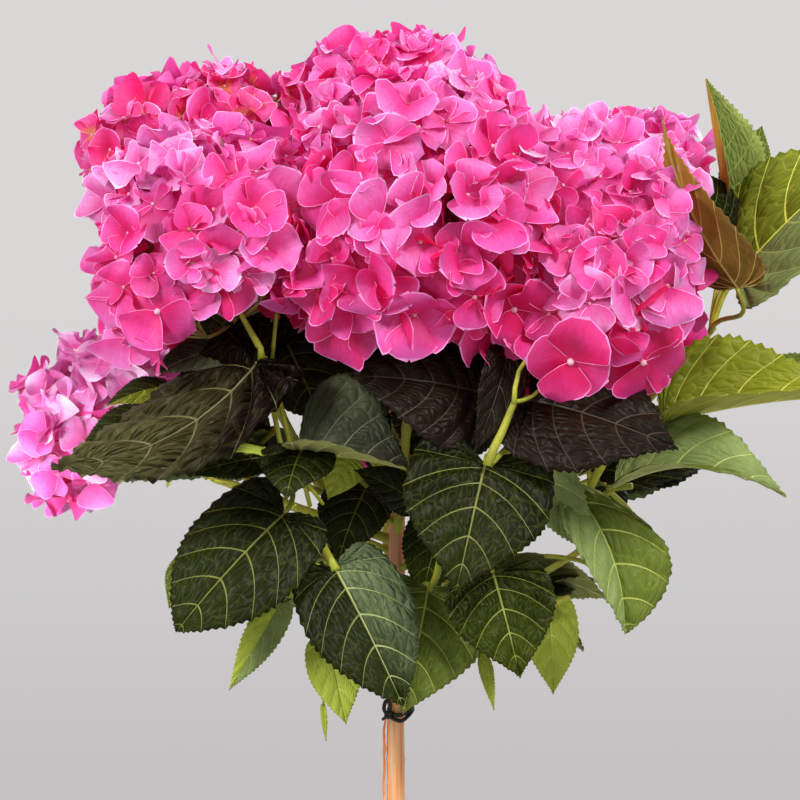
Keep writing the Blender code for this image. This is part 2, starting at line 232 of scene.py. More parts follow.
def joined(name, batches, materials, weld=False):
    """One object from batches of (places, faces, material numbers, UV places)."""
    places = np.concatenate([batch[0] for batch in batches])
    sizes = [len(batch[0]) for batch in batches]
    starts = np.concatenate([[0], np.cumsum(sizes)[:-1]])
    corner_lists = [batch[1] + start for batch, start in zip(batches, starts)]
    corners = np.concatenate([corner_list.ravel() for corner_list in corner_lists])
    counts = np.concatenate([np.full(len(faces), faces.shape[1]) for faces in corner_lists])
    numbers = np.concatenate([batch[2] for batch in batches])
    flat = np.concatenate([batch[3] for batch in batches])
    mesh = bpy.data.meshes.new(name)
    mesh.vertices.add(len(places))
    mesh.vertices.foreach_set("co", places.astype(np.float32).ravel())
    mesh.loops.add(len(corners))
    mesh.loops.foreach_set("vertex_index", corners.astype(np.int32))
    mesh.polygons.add(len(counts))
    face_starts = np.concatenate([[0], np.cumsum(counts)[:-1]])
    mesh.polygons.foreach_set("loop_start", face_starts.astype(np.int32))
    mesh.polygons.foreach_set("material_index", numbers.astype(np.int32))
    layer = mesh.uv_layers.new(name="shape")
    layer.data.foreach_set("uv", flat[corners].astype(np.float32).ravel())
    mesh.update(calc_edges=True)
    mesh.validate()
    if weld:
        weld_corners(mesh)
    return shown(name, mesh, materials)


def tubes(name, runs, sides_level, materials):
    """One object of many tapering round stalks, from a curve object with a radius at each point."""
    curve = bpy.data.curves.new(name, "CURVE")
    curve.dimensions = "3D"
    curve.bevel_depth = 1.0
    curve.bevel_resolution = sides_level
    curve.use_fill_caps = True
    for path, radii in runs:
        spline = curve.splines.new("POLY")
        spline.points.add(len(path) - 1)
        spline.points.foreach_set("co", np.c_[path, np.ones(len(path))].astype(np.float32).ravel())
        spline.points.foreach_set("radius", np.asarray(radii, np.float32))
    source = bpy.data.objects.new(name + "_curve", curve)
    bpy.context.scene.collection.objects.link(source)
    bpy.context.view_layer.update()
    mesh = bpy.data.meshes.new_from_object(source.evaluated_get(bpy.context.evaluated_depsgraph_get()))
    bpy.data.objects.remove(source, do_unlink=True)
    weld_corners(mesh, recalculate=True)
    mesh.name = name
    return shown(name, mesh, materials)


def place(piece, slot, *nodes):
    """The piece rides with the plant and stands for the solid nodes it grew in; the slot is not used."""
    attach(piece, "root")
    if nodes:
        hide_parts(*nodes)
    print(piece.name, "faces:", len(piece.data.polygons))
    return piece


print("corners nearer than", WELD, "m are merged")

# %% [markdown]
# ## Materials
# Plants are matt and slightly waxy, never one flat tone. Small helpers build the node trees: a base
# colour broken up by noise, a fine bump, and a roughness of its own for each finish.

# %% Material helpers
def new_material(name, roughness, specular=0.5):
    material = bpy.data.materials.new(name)
    material.use_nodes = True
    shader = material.node_tree.nodes["Principled BSDF"]
    shader.inputs["Roughness"].default_value = roughness
    shader.inputs["Specular IOR Level"].default_value = specular
    return material, material.node_tree, shader


def node(tree, kind, **settings):
    made = tree.nodes.new(kind)
    for key, value in settings.items():
        setattr(made, key, value)
    return made


def stretched(tree, coordinate, scale):
    """A coordinate output scaled along each axis by a Mapping node."""
    mapping = node(tree, "ShaderNodeMapping")
    mapping.inputs["Scale"].default_value = scale
    tree.links.new(coordinate, mapping.inputs["Vector"])
    return mapping.outputs["Vector"]


def noise_value(tree, coordinate, scale, detail=3.0, stretch=(1.0, 1.0, 1.0)):
    """A noise texture's value on a stretched coordinate."""
    pattern = node(tree, "ShaderNodeTexNoise")
    pattern.inputs["Scale"].default_value = scale
    pattern.inputs["Detail"].default_value = detail
    tree.links.new(stretched(tree, coordinate, stretch), pattern.inputs["Vector"])
    return pattern.outputs["Fac"]


def ramp(tree, value, stops):
    """A colour ramp of (position, colour) stops driven by a value."""
    made = node(tree, "ShaderNodeValToRGB")
    elements = made.color_ramp.elements
    while len(elements) < len(stops):
        elements.new(0.5)
    for element, (position, colour) in zip(elements, stops):
        element.position = position
        element.color = (*colour, 1.0)
    tree.links.new(value, made.inputs["Fac"])
    return made.outputs["Color"]


def mask(tree, value, stops):
    """A ramp of (position, grey level) stops, to use as a factor."""
    return ramp(tree, value, [(position, (level, level, level)) for position, level in stops])


def ranged(tree, value, low, high):
    """A value rescaled so that low becomes 0 and high becomes 1."""
    made = node(tree, "ShaderNodeMapRange")
    made.inputs["From Min"].default_value = low
    made.inputs["From Max"].default_value = high
    tree.links.new(value, made.inputs["Value"])
    return made.outputs["Result"]


def axes_of(tree, vector):
    """The X, Y and Z outputs of a vector."""
    made = node(tree, "ShaderNodeSeparateXYZ")
    tree.links.new(vector, made.inputs["Vector"])
    return made.outputs


def summed(tree, shares):
    """The sum of values, each multiplied by its share."""
    total = None
    for value, share in shares:
        part = node(tree, "ShaderNodeMath", operation="MULTIPLY_ADD")
        part.inputs[1].default_value = share
        part.inputs[2].default_value = 0.0
        tree.links.new(value, part.inputs[0])
        if total:
            tree.links.new(total, part.inputs[2])
        total = part.outputs[0]
    return total


def mixed_colour(tree, factor, first, second):
    """A mix of two colours; each may be a node's output or a plain colour."""
    made = node(tree, "ShaderNodeMix", data_type="RGBA")
    tree.links.new(factor, made.inputs[0])
    for socket, colour in ((made.inputs[6], first), (made.inputs[7], second)):
        if isinstance(colour, bpy.types.NodeSocket):
            tree.links.new(colour, socket)
        else:
            socket.default_value = (*colour, 1.0)
    return made.outputs[2]


def bump(tree, shader, height, strength, distance):
    made = node(tree, "ShaderNodeBump")
    made.inputs["Strength"].default_value = strength
    made.inputs["Distance"].default_value = distance
    tree.links.new(height, made.inputs["Height"])
    tree.links.new(made.outputs["Normal"], shader.inputs["Normal"])


def shaded(colour, share):
    """A colour made darker or lighter by a share."""
    return tuple(min(1.0, part * share) for part in colour)


print("material helpers ready")

# %% [markdown]
# ## Sepals
# What look like petals are sepals: four broad, overlapping, slightly pointed blades round a tiny bud.
# One sepal is a square grid stood on its corner, so that the corners become its base, its tip and its
# two sides, and no pole is needed. Its outermost cells are very narrow: they carry the pale margin, a
# painted highlight where light catches the edge.
# Flowers deep in the head show only as colour between others, so theirs use a coarser grid.

# %% Sepal shape
SEPAL_HALF_WIDTH = 0.66
SEPAL_RISE, SEPAL_FALL = 0.94, 0.76
OUTER_STEPS = np.array([0.0, 0.014, 0.235, 0.5, 0.765, 0.986, 1.0])
INNER_STEPS = np.array([0.0, 0.25, 0.5, 0.75, 1.0])


def sepal_outline(along):
    """Half width along a sepal, as a share of its widest."""
    peak = SEPAL_RISE / (SEPAL_RISE + SEPAL_FALL)
    top = peak**SEPAL_RISE * (1.0 - peak) ** SEPAL_FALL
    return along**SEPAL_RISE * (1.0 - along) ** SEPAL_FALL / top


def sepal_template(steps):
    """Each corner's place along and across a sepal, its faces, and which faces take the painted edge
    highlight.
    """
    cells = len(steps) - 1
    sheet = bmesh.new()
    bmesh.ops.create_grid(sheet, x_segments=cells, y_segments=cells, size=1.0)
    places, faces, rim = template(sheet)
    column, row = np.rint((places[:, :2].T + 1.0) / 2.0 * cells).astype(int)
    first, second = steps[column], steps[row]
    along = (first + second) / 2.0
    reach = np.maximum(np.minimum(along, 1.0 - along), 0.000001)
    across = np.clip((second - first) / 2.0 / reach, -1.0, 1.0)
    return along, across, faces, rim & (steps[1] < 0.1)


OUTER_SEPAL = sepal_template(OUTER_STEPS)
INNER_SEPAL = sepal_template(INNER_STEPS)
print("sepal faces:", len(OUTER_SEPAL[2]), "outside,", len(INNER_SEPAL[2]), "inside")

# %% [markdown]
# The colours run from a pale orchid pink to a deep crimson, and which one a flower gets is mostly painted
# light and shade: the palest go to sepals that face the light, the darkest low in the head. They are dealt
# out flower by flower, with a paler margin for each: a painted highlight where light catches the edge.
# Fine veins run from base to tip, and each sepal pales towards its edge, partly its own colour and partly
# painted shade at the base and painted highlight further out. Sepals are thin, so a third of the light
# passes through them and comes out redder: that glow is what keeps the shade inside a head pink.

# %% Petal materials
# Steps from lit to shaded of one pink, dealt mostly by how a flower faces the light: painted light and shade.
# Young is the colour of flowers that have just opened.
PETAL_TINTS = {
    "blush": (0.98, 0.35, 0.78),
    "pale": (0.97, 0.235, 0.66),
    "lit": (0.96, 0.135, 0.53),
    "rose": (0.95, 0.066, 0.39),
    "deep": (0.92, 0.034, 0.26),
    "crimson": (0.87, 0.02, 0.155),
    "young": (0.95, 0.075, 0.36),
}
# Pale margins: a painted highlight where light catches the edge of each sepal.
PETAL_EDGE_HIGHLIGHTS = {
    "blush": (0.99, 0.6, 0.9),
    "pale": (0.99, 0.58, 0.9),
    "lit": (0.98, 0.44, 0.82),
    "rose": (0.98, 0.29, 0.66),
}
HEARTS = {"young": (0.78, 0.4, 0.045)}  # the colour at the base of flowers that have just opened
# The dark and light ends of a sepal's ramp: partly its own veins and tone, partly painted shade and
# highlight.
DEEP_AND_SHADED_SHARES = (0.94, 0.36, 0.6)  # red, green and blue of the darkest patches, as shares of the tint
PALE_AND_LIT_SHARES = (1.04, 2.1, 1.45)
THROUGH_SHARE = 0.34
EYES = {"blush": (0.93, 0.5, 0.62), "olive": (0.52, 0.42, 0.1), "red": (0.6, 0.05, 0.11)}


def petal_material(name, colour, seed):
    """A sepal's finish: veined, clouded and paler at its tip, partly as painted shade and highlight, and
    letting some light through.
    """
    material, tree, shader = new_material("petal_" + name, 0.42, 0.42)
    coordinate = node(tree, "ShaderNodeTexCoord").outputs
    veins = noise_value(tree, coordinate["UV"], 6.0, 4.0, (0.7, 4.5, 1.0))
    cloud = noise_value(tree, coordinate["Object"], 55.0 + seed, 2.0)
    along = axes_of(tree, coordinate["UV"])["X"]
    # The ramp runs darker at the base and paler at the tip: partly the sepal's own colour, partly painted
    # shade and highlight.
    spread = summed(tree, ((veins, 0.36), (cloud, 0.24), (along, 0.4)))
    dark = tuple(part * share for part, share in zip(colour, DEEP_AND_SHADED_SHARES))
    light = tuple(min(1.0, part * share) for part, share in zip(colour, PALE_AND_LIT_SHARES))
    tone = ramp(tree, spread, [(0.34, dark), (0.5, colour), (0.66, light)])
    if name in HEARTS:
        heart = mask(tree, along, [(0.1, 0.85), (0.42, 0.0)])
        tone = mixed_colour(tree, heart, tone, HEARTS[name])
    tree.links.new(tone, shader.inputs["Base Color"])
    bump(tree, shader, veins, 0.5, 0.0009)
    through = node(tree, "ShaderNodeBsdfTranslucent")
    through.inputs["Color"].default_value = (*[part**1.5 for part in colour], 1.0)
    blend = node(tree, "ShaderNodeMixShader")
    blend.inputs[0].default_value = THROUGH_SHARE
    tree.links.new(shader.outputs[0], blend.inputs[1])
    tree.links.new(through.outputs[0], blend.inputs[2])
    tree.links.new(blend.outputs[0], tree.nodes["Material Output"].inputs["Surface"])
    return material


def plain_material(name, colour, roughness, grain):
    """A small smooth part: its colour broken up a little by noise."""
    material, tree, shader = new_material(name, roughness)
    coordinate = node(tree, "ShaderNodeTexCoord").outputs["Object"]
    pattern = noise_value(tree, coordinate, grain, 3.0)
    stops = [(0.35, shaded(colour, 0.82)), (0.65, shaded(colour, 1.15))]
    tree.links.new(ramp(tree, pattern, stops), shader.inputs["Base Color"])
    bump(tree, shader, pattern, 0.2, 0.0004)
    return material


petal_slots = []
for index, (name, colour) in enumerate(PETAL_TINTS.items()):
    petal_slots.append(petal_material(name, colour, 3.0 * index))
# The margin materials hold the painted edge highlight.
petal_slots += [plain_material("margin_" + name, colour, 0.6, 90.0) for name, colour in PETAL_EDGE_HIGHLIGHTS.items()]
petal_slots += [plain_material("eye_" + name, colour, 0.5, 300.0) for name, colour in EYES.items()]
YOUNG = len(PETAL_TINTS) - 1
EDGE_HIGHLIGHT_OF_TINT = len(PETAL_TINTS) + np.array([0, 1, 2, 3, 3, 3, 2])  # a slot for each tint's margin
FIRST_EYE = len(PETAL_TINTS) + len(PETAL_EDGE_HIGHLIGHTS)
print("petal materials:", len(petal_slots))

# %% [markdown]
# ## Flower heads
# A head is a boxy dome of flowers on thin stalks. Candidate directions are thrown at random, and each
# is kept only where the flower has room beside the ones already placed, which packs them as unevenly
# as nature does. Flowers grow larger towards the foot of a head. A second layer further in closes the
# gaps, its colours painted darker as the shade inside the head.

# %% Throwing flowers over a dome
HEAD_FLOOR = -0.82  # how far down the dome goes: 1 is the top, -1 the bottom
DOME_POWER = 2.5  # 2 is an ellipsoid; more is boxier
OUTER_LAYER = {"share": 0.93, "spacing": 1.1, "floor": HEAD_FLOOR, "tone_and_painted_shade": 0.0}
# The inner layer's tints are painted darker, as the shade inside the head.
INNER_LAYER = {"share": 0.77, "spacing": 1.42, "floor": -0.7, "tone_and_painted_shade": 1.2}
THROWS = 5200


def dome_reach(directions):
    """How much further than an ellipsoid the boxy dome reaches along each direction."""
    return (np.abs(directions) ** DOME_POWER).sum(axis=1) ** (-1.0 / DOME_POWER)


def dome_normals(points, centre, halves):
    """The way the dome's surface faces near each point."""
    slope = (points - centre) / halves
    normals = np.sign(slope) * np.abs(slope) ** (DOME_POWER - 1.0) / halves
    return normals / np.linalg.norm(normals, axis=1)[:, None]


def thrown_directions(rng, halves, radius_top, radius_low, layer):
    """Unit directions spread over the dome, none closer than its flower's size allows."""
    throws = rng.normal(size=(THROWS, 3))
    throws /= np.linalg.norm(throws, axis=1)[:, None]
    throws = throws[throws[:, 2] > layer["floor"]]
    kept, sizes = np.zeros((0, 3)), np.zeros(0)
    for throw in throws:
        size = radius_top + (radius_low - radius_top) * (1.0 - throw[2]) / 2.0
        gap = layer["spacing"] * (size + sizes) / 2.0
        if np.all(np.linalg.norm((kept - throw) * halves, axis=1) > gap):
            kept = np.vstack([kept, throw])
            sizes = np.append(sizes, size)
    return kept, sizes


print("flowers are thrown", THROWS, "times for each layer")

# %% [markdown]
# The crown is open in places, where the room behind it or the stalks below show. A few boxes in the
# view keep each head's flowers out of them. Heads at the back draw their flowers in towards their
# middle there instead, so that they stay closed from the side. Two heads that meet are parted by a
# plane between them, and a flower that lies well beyond it is left out.

# %% Open places and neighbours
# Left, top, right and bottom of the places that each head keeps clear.
CLEAR_OF_FLOWERS = {
    "head_left_back": (
        (30, 30, 98, 260), (60, 30, 120, 114), (60, 30, 150, 98), (150, 30, 205, 82), (200, 30, 300, 73),
    ),
    "head_top": ((270, -40, 330, 62), (330, -40, 452, 47), (452, -40, 530, 70)),
    "head_centre": ((262, 322, 312, 400), (500, 60, 600, 112)),
    "head_left_front": ((198, 288, 305, 420), (60, 325, 120, 400), (50, 180, 108, 300)),
    "head_right_front": (
        (692, 100, 780, 420), (672, 316, 780, 420), (656, 350, 760, 420), (540, 60, 700, 128),
    ),
    "head_right_back": ((560, 60, 730, 124), (698, 100, 760, 260)),
    "head_low_left": ((112, 448, 210, 540), (150, 400, 210, 540), (-20, 300, 34, 540), (34, 300, 70, 372)),
    "head_back_right": ((620, 300, 800, 460), (560, 380, 800, 520)),
    "head_back_left": ((262, 395, 330, 520),),
    "head_low_back": ((262, 395, 330, 520), (322, 450, 366, 520), (560, 430, 620, 520)),
}


def in_view(points):
    """The places in the view, in pixels, at which points are seen."""
    metres = VIEW_WIDTH / VIEW_SIZE * (VIEW_DISTANCE + points[:, 1]) / VIEW_DISTANCE
    return VIEW_SIZE / 2 + points[:, 0] / metres, VIEW_SIZE / 2 - (points[:, 2] - VIEW_HEIGHT) / metres


def in_clear_zone(name, points):
    """Which points are seen where the view shows no flower of this head."""
    across, down = in_view(points)
    hidden = np.zeros(len(points), bool)
    for left, top, right, bottom in CLEAR_OF_FLOWERS.get(name, ()):
        hidden |= (across > left) & (across < right) & (down > top) & (down < bottom)
    return hidden


def past_neighbour(name, points):
    """How far points lie beyond the planes that part a head from its neighbours; negative is short of all."""
    centre, halves = np.array(HEADS[name][0]), np.array(HEADS[name][1])
    furthest = np.full(len(points), -1.0)
    for other, row in HEADS.items():
        if other == name:
            continue
        between = np.array(row[0]) - centre
        distance = np.linalg.norm(between)
        direction = between / distance
        mine = np.linalg.norm(halves * direction)
        theirs = np.linalg.norm(np.array(row[1]) * direction)
        if mine + theirs > distance:
            beyond = (points - centre) @ direction - distance * mine / (mine + theirs)
            furthest = np.maximum(furthest, beyond)
    return furthest


print("heads with clear places:", len(CLEAR_OF_FLOWERS))

# %% [markdown]
# A layer puts the thrown directions on the dome, lets every flower look outwards with some spread of
# its own, and drops the flowers that the clear places and the neighbours rule out.

# %% One layer of flowers
NEIGHBOUR_OVERLAP = 0.012  # how far flowers may reach past the plane between two heads
NORMAL_SPREAD = 0.42
UPWARDS = np.array([0.0, 0.0, 0.1])
DRAWN_IN = ("head_back_left", "head_back", "head_back_right", "head_low_back")
DRAW_STEPS, DRAW_SHARE = 7, 0.1


def floret_layer(rng, name, layer):
    """Centres, normals and radii of one layer of a head's flowers."""
    centre, halves, _, _, radius_top, radius_low, _ = HEADS[name]
    centre, halves = np.array(centre), np.array(halves)
    directions, radii = thrown_directions(rng, halves, radius_top, radius_low, layer)
    depth = layer["share"] * rng.uniform(0.88, 1.0, len(directions)) * dome_reach(directions)
    points = centre + directions * halves * depth[:, None]
    normals = dome_normals(points, centre, halves)
    normals += rng.normal(scale=NORMAL_SPREAD, size=normals.shape) + UPWARDS
    normals /= np.linalg.norm(normals, axis=1)[:, None]
    if name in DRAWN_IN:
        for _ in range(DRAW_STEPS):
            outside = in_clear_zone(name, points)
            points[outside] += DRAW_SHARE * (centre - points[outside])
    kept = ~in_clear_zone(name, points) & (past_neighbour(name, points) < NEIGHBOUR_OVERLAP)
    radii = radii * rng.uniform(0.88, 1.14, len(radii))
    return points[kept], normals[kept], radii[kept]


print("heads drawn in:", len(DRAWN_IN))

# %% [markdown]
# The largest flowers at the front are placed one by one, by where they stand in the view. A line of
# sight through that place meets the dome somewhere: there the flower sits, turned a little to the
# front. Thrown flowers that would cover it are dropped.

# %% Florets at the front
PLACED_SHARE = 0.93  # how far out from the head's centre, as a share of the dome
CLEAR_SHARE = 0.62  # thrown flowers nearer than this share of the radius are dropped
FRONTWARDS = np.array([0.0, -0.45, 0.05])

# Across, down and radius in the view's pixels; in the valleys between heads also the depth.
FRONT_FLORETS = {
    "head_left_front": (
        (187, 228, 26), (256, 207, 31), (270, 249, 29), (191, 265, 24), (154, 316, 42), (150, 275, 24),
        (216, 272, 26), (252, 276, 26), (312, 182, 27), (122, 232, 25), (306, 238, 28), (230, 172, 25),
        (292, 150, 25), (118, 290, 28), (296, 162, 24, -0.03), (300, 198, 25, -0.045),
    ),
    "head_left_back": (
        (202, 124, 25), (256, 103, 22), (141, 119, 23), (105, 150, 23), (228, 82, 20), (284, 96, 22),
        (288, 128, 22), (287, 92, 21, 0.02), (291, 126, 22, 0.005), (86, 134, 20), (84, 172, 20),
    ),
    "head_top": ((327, 76, 23), (372, 108, 26), (430, 60, 22), (365, 48, 21), (318, 118, 23)),
    "head_centre": (
        (500, 215, 36), (416, 203, 29), (451, 272, 35), (384, 284, 35), (414, 322, 40), (520, 316, 46),
        (345, 312, 38), (468, 330, 30), (540, 262, 28), (375, 240, 26), (470, 160, 22), (312, 292, 34),
        (338, 226, 28), (326, 262, 26), (520, 150, 24), (350, 170, 26), (536, 182, 25), (552, 218, 26),
    ),
    "head_right_front": (
        (560, 180, 26), (613, 210, 29), (567, 251, 31), (622, 265, 31), (588, 307, 34), (672, 288, 36),
        (571, 361, 48, -0.13), (643, 362, 46, -0.117), (655, 230, 26), (545, 318, 30), (690, 240, 24),
        (565, 146, 23), (596, 150, 24), (640, 170, 24), (618, 340, 30), (676, 190, 24),
    ),
    "head_right_back": (
        (552, 130, 20, 0.02), (536, 126, 20, 0.01), (574, 132, 20), (600, 133, 19), (625, 131, 18),
        (650, 132, 19), (676, 133, 19), (692, 152, 19),
    ),
    "head_low_left": (
        (54, 478, 22), (92, 486, 25), (40, 436, 23), (84, 440, 24), (66, 396, 22), (100, 358, 22),
        (128, 388, 22),
    ),
}


def on_front(name, across, down):
    """Where a line of sight first meets a head's dome, or passes nearest, and the pixel's size there."""
    centre, halves = np.array(HEADS[name][0]), np.array(HEADS[name][1])
    depths = np.linspace(centre[1] - 1.3 * halves[1], centre[1], 60)
    line = np.array([seen_at(across, down, depth) for depth in depths])
    share = (np.abs((line - centre) / halves) ** DOME_POWER).sum(axis=1)
    inside = np.flatnonzero(share <= 1.0)
    found = inside[0] if len(inside) else np.argmin(share)
    pixel = VIEW_WIDTH / VIEW_SIZE * (VIEW_DISTANCE + depths[found]) / VIEW_DISTANCE
    return line[found], pixel


def with_front_florets(name, points, normals, radii):
    """A layer of flowers with the placed ones added to it."""
    centre, halves = np.array(HEADS[name][0]), np.array(HEADS[name][1])
    for across, down, size, *depth in FRONT_FLORETS.get(name, ()):
        point, pixel = on_front(name, across, down)
        normal = dome_normals(point[None], centre, halves)[0] + FRONTWARDS
        point = seen_at(across, down, depth[0]) if depth else centre + (point - centre) * PLACED_SHARE
        radius = size * pixel
        clear = np.linalg.norm(points - point, axis=1) > radius * CLEAR_SHARE
        points = np.vstack([points[clear], point])
        normals = np.vstack([normals[clear], normal / np.linalg.norm(normal)])
        radii = np.append(radii[clear], radius)
    return points, normals, radii


print("placed flowers:", sum(len(rows) for rows in FRONT_FLORETS.values()))

# %% [markdown]
# Each flower gets four sepals. A sepal lifts from the bud like the side of a bowl, is cupped across,
# turns over at its tip and ruffles at its edge, each by its own seeded amount. Without these
# differences a head looks stamped; with them every sepal catches the light in its own way.

# %% Shaping sepals
TIP_TURNS_FROM = 0.6  # where along a sepal its tip starts to turn over
OVERLAP_LIFT = 0.0006  # every other sepal lies this much higher


def sepals(rng, shape, points, normals, radii, tints):
    """All sepals of a layer, as one batch."""
    along, across, faces, rim = shape
    count = len(points)
    side = np.cross(normals, np.tile([0.31, 0.17, 0.93], (count, 1)))
    side /= np.linalg.norm(side, axis=1)[:, None]
    other = np.cross(normals, side)

    def spread(values):
        return np.repeat(values, 4, axis=0)

    quarter = np.tile(np.arange(4), count)
    total = count * 4
    roll = spread(rng.uniform(0.0, math.pi / 2, count))
    angle = roll + quarter * math.pi / 2 + rng.normal(0.0, 0.13, total)
    forward = spread(side) * np.cos(angle)[:, None] + spread(other) * np.sin(angle)[:, None]
    sideways = np.cross(spread(normals), forward)
    length = spread(radii) * rng.uniform(0.84, 1.18, total)
    half_width = length * SEPAL_HALF_WIDTH * rng.uniform(0.88, 1.16, total)
    lift = spread(rng.normal(0.36, 0.22, count)) + rng.normal(0.0, 0.2, total)
    bend = rng.normal(0.22, 0.16, total)
    cup = rng.normal(0.42, 0.34, total)
    tip = rng.normal(0.25, 0.38, total)
    twist = rng.normal(0.0, 0.26, total)
    ruffle = rng.uniform(0.04, 0.17, total)
    phase = rng.uniform(0.0, 2.0 * math.pi, total)[:, None]
    layer = OVERLAP_LIFT * (quarter % 2)

    outline = sepal_outline(along)
    edge = across * outline
    x = along * length[:, None] * (1.0 + 0.05 * np.sin(across * 2.5 + phase))
    y = edge * half_width[:, None] * (1.0 + 0.06 * np.sin(along * 9.0 + phase * 2.0))
    wave = np.sin(across * 3.6 + along * 9.0 + phase)
    z = length[:, None] * (
        lift[:, None] * along
        - bend[:, None] * along**2
        - tip[:, None] * np.clip(along - TIP_TURNS_FROM, 0.0, 1.0) ** 2 * 2.4
        + cup[:, None] * edge**2 * 0.5
        + ruffle[:, None] * wave * edge**2
    )
    z += twist[:, None] * y + layer[:, None]
    places = (
        spread(points)[:, None, :]
        + forward[:, None, :] * x[..., None]
        + sideways[:, None, :] * y[..., None]
        + spread(normals)[:, None, :] * z[..., None]
    )
    starts = np.arange(total)[:, None, None] * len(along)
    tint = spread(tints)
    # Margin faces take their tint's painted edge highlight.
    numbers = np.where(rim[None, :], EDGE_HIGHLIGHT_OF_TINT[tint][:, None], tint[:, None])
    flat = np.tile(np.c_[along, across * 0.5 + 0.5], (total, 1))
    return places.reshape(-1, 3), (faces[None] + starts).reshape(-1, 4), numbers.ravel(), flat


print("a sepal is", 2 * SEPAL_HALF_WIDTH, "times as wide as it is long")

# %% [markdown]
# A closed bud, called the eye, sits in the middle of each flower. It is a small ball, and so are the
# crumbs of compost further on, so one helper turns any number of such beads into a batch. The tint
# numbers are dealt out here too, as painted light and shade with a random spread: paler where a flower
# faces up, darker where it looks down, lies inside a head or sits in the valley between two heads.

# %% Eyes and tints
EYE_SHARE = 0.068
EYE_RAISED = 0.6
# Tints turn paler with facing up as painted light, and darker in the valleys between heads as painted shade.
MIDDLE_TINT, PAINTED_LIGHT_BY_FACING, TINT_SPREAD = 2.45, 1.6, 0.6
VALLEY_PAINTED_SHADE, VALLEY_WIDTH = 1.5, 0.022

ball = bmesh.new()
bmesh.ops.create_icosphere(ball, subdivisions=2, radius=1.0)
BEAD_PLACES, BEAD_FACES, _ = template(ball)


def bead_batch(places, numbers):
    """A batch from each bead's corner places and its material number."""
    count, corners = places.shape[:2]
    faces = BEAD_FACES[None] + np.arange(count)[:, None, None] * corners
    flat = np.zeros((count * corners, 2))
    return places.reshape(-1, 3), faces.reshape(-1, 3), np.repeat(numbers, len(BEAD_FACES)), flat


def eyes(rng, points, normals, radii, odds):
    """A bead in the middle of each flower, in one of the eyes' colours."""
    size = radii * EYE_SHARE * rng.uniform(0.85, 1.2, len(radii))
    middle = points + normals * size[:, None] * EYE_RAISED
    kinds = rng.choice(len(EYES), len(points), p=odds)
    return bead_batch(middle[:, None, :] + BEAD_PLACES[None] * size[:, None, None], FIRST_EYE + kinds)


def deal_tints(rng, name, points, normals, tone_and_painted_shade):
    """A tint number for each flower: painted light and shade by facing, head, layer and valley, and a random
    spread.
    """
    # Painted light where a flower faces up, painted shade where it looks down, lies further in or sits in a
    # valley.
    shade = MIDDLE_TINT - PAINTED_LIGHT_BY_FACING * normals[:, 2] + rng.normal(0.0, TINT_SPREAD, len(normals)) + tone_and_painted_shade
    shade += VALLEY_PAINTED_SHADE * np.clip(1.0 + past_neighbour(name, points) / VALLEY_WIDTH, 0.0, 1.0)
    return np.clip(np.rint(shade), 0, YOUNG - 1).astype(int)


print("bead faces:", len(BEAD_FACES))

# %% [markdown]
# Under the flowers, a head branches like a small tree. The cane ends in a hub, a few short branches
# leave the hub, and from each branch thin stalks run to the flowers nearest to it.

# %% Stalks inside a head
BRANCHES = 9
FORK_SHARE = 0.42  # how far from the hub to a flower a branch divides
BRANCH_RADII = (0.0019, 0.0012)
STALK_RADII = (0.001, 0.0007)
stalk_runs = []


def stalks(rng, hub, centre, points, normals):
    """Adds branches from the hub, and stalks on to the backs of the flowers."""
    picks = points[rng.choice(len(points), min(BRANCHES, len(points)), replace=False)]
    forks = hub + (picks - hub) * FORK_SHARE
    for fork in forks:
        path = bezier(hub, hub + (centre - hub) * 0.3, fork + (hub - fork) * 0.3, fork, 5)
        stalk_runs.append((path, np.linspace(*BRANCH_RADII, len(path))))
    for point, normal in zip(points, normals):
        fork = forks[np.argmin(np.linalg.norm(forks - point, axis=1))]
        length = np.linalg.norm(point - fork)
        path = bezier(fork, fork + (point - hub) * 0.15, point - normal * length * 0.4, point, 4)
        stalk_runs.append((path, np.linspace(*STALK_RADII, len(path))))


print("branches in a head:", BRANCHES)

# %% [markdown]
# Now each head can grow: two layers of flowers, their eyes, and the stalks behind them. In the head at
# the back left many flowers have only just opened, and their sepals are yellow at the base.

# %% Growing the heads
HUB_AT = 0.8  # share of the cane's path where it divides
CANE_STEPS = 40
YOUNG_HEAD, YOUNG_SHARE = "head_left_back", 0.6
EYE_ODDS, YOUNG_EYE_ODDS = (0.82, 0.08, 0.1), (0.5, 0.38, 0.12)
HEAD_SEED = 100


def grow_head(name, seed):
    """Both layers of a head's flowers as one piece, with its stalks added to the list."""
    rng = np.random.default_rng(seed)
    centre, _, foot_height, heading, _, _, tone_and_painted_shade = HEADS[name]
    path = cane_path(foot_height, heading, np.array(centre), CANE_STEPS + 1)
    hub = path[int(HUB_AT * CANE_STEPS)]
    odds = YOUNG_EYE_ODDS if name == YOUNG_HEAD else EYE_ODDS
    outer = with_front_florets(name, *floret_layer(rng, name, OUTER_LAYER))
    inner = floret_layer(rng, name, INNER_LAYER)
    tints = deal_tints(rng, name, *outer[:2], tone_and_painted_shade)
    if name == YOUNG_HEAD:
        tints[rng.random(len(tints)) < YOUNG_SHARE] = YOUNG
    batches = [
        sepals(rng, OUTER_SEPAL, *outer, tints),
        eyes(rng, *outer, odds),
        sepals(rng, INNER_SEPAL, *inner, deal_tints(rng, name, *inner[:2], tone_and_painted_shade + INNER_LAYER["tone_and_painted_shade"])),
    ]
    stalks(rng, hub, np.array(centre), *outer[:2])
    stalks(rng, hub, np.array(centre), *inner[:2])
    piece = joined(name.replace("head", "florets"), batches, petal_slots)
    return place(piece, "petals", name)


for number, head in enumerate(HEADS):
    grow_head(head, HEAD_SEED + number)

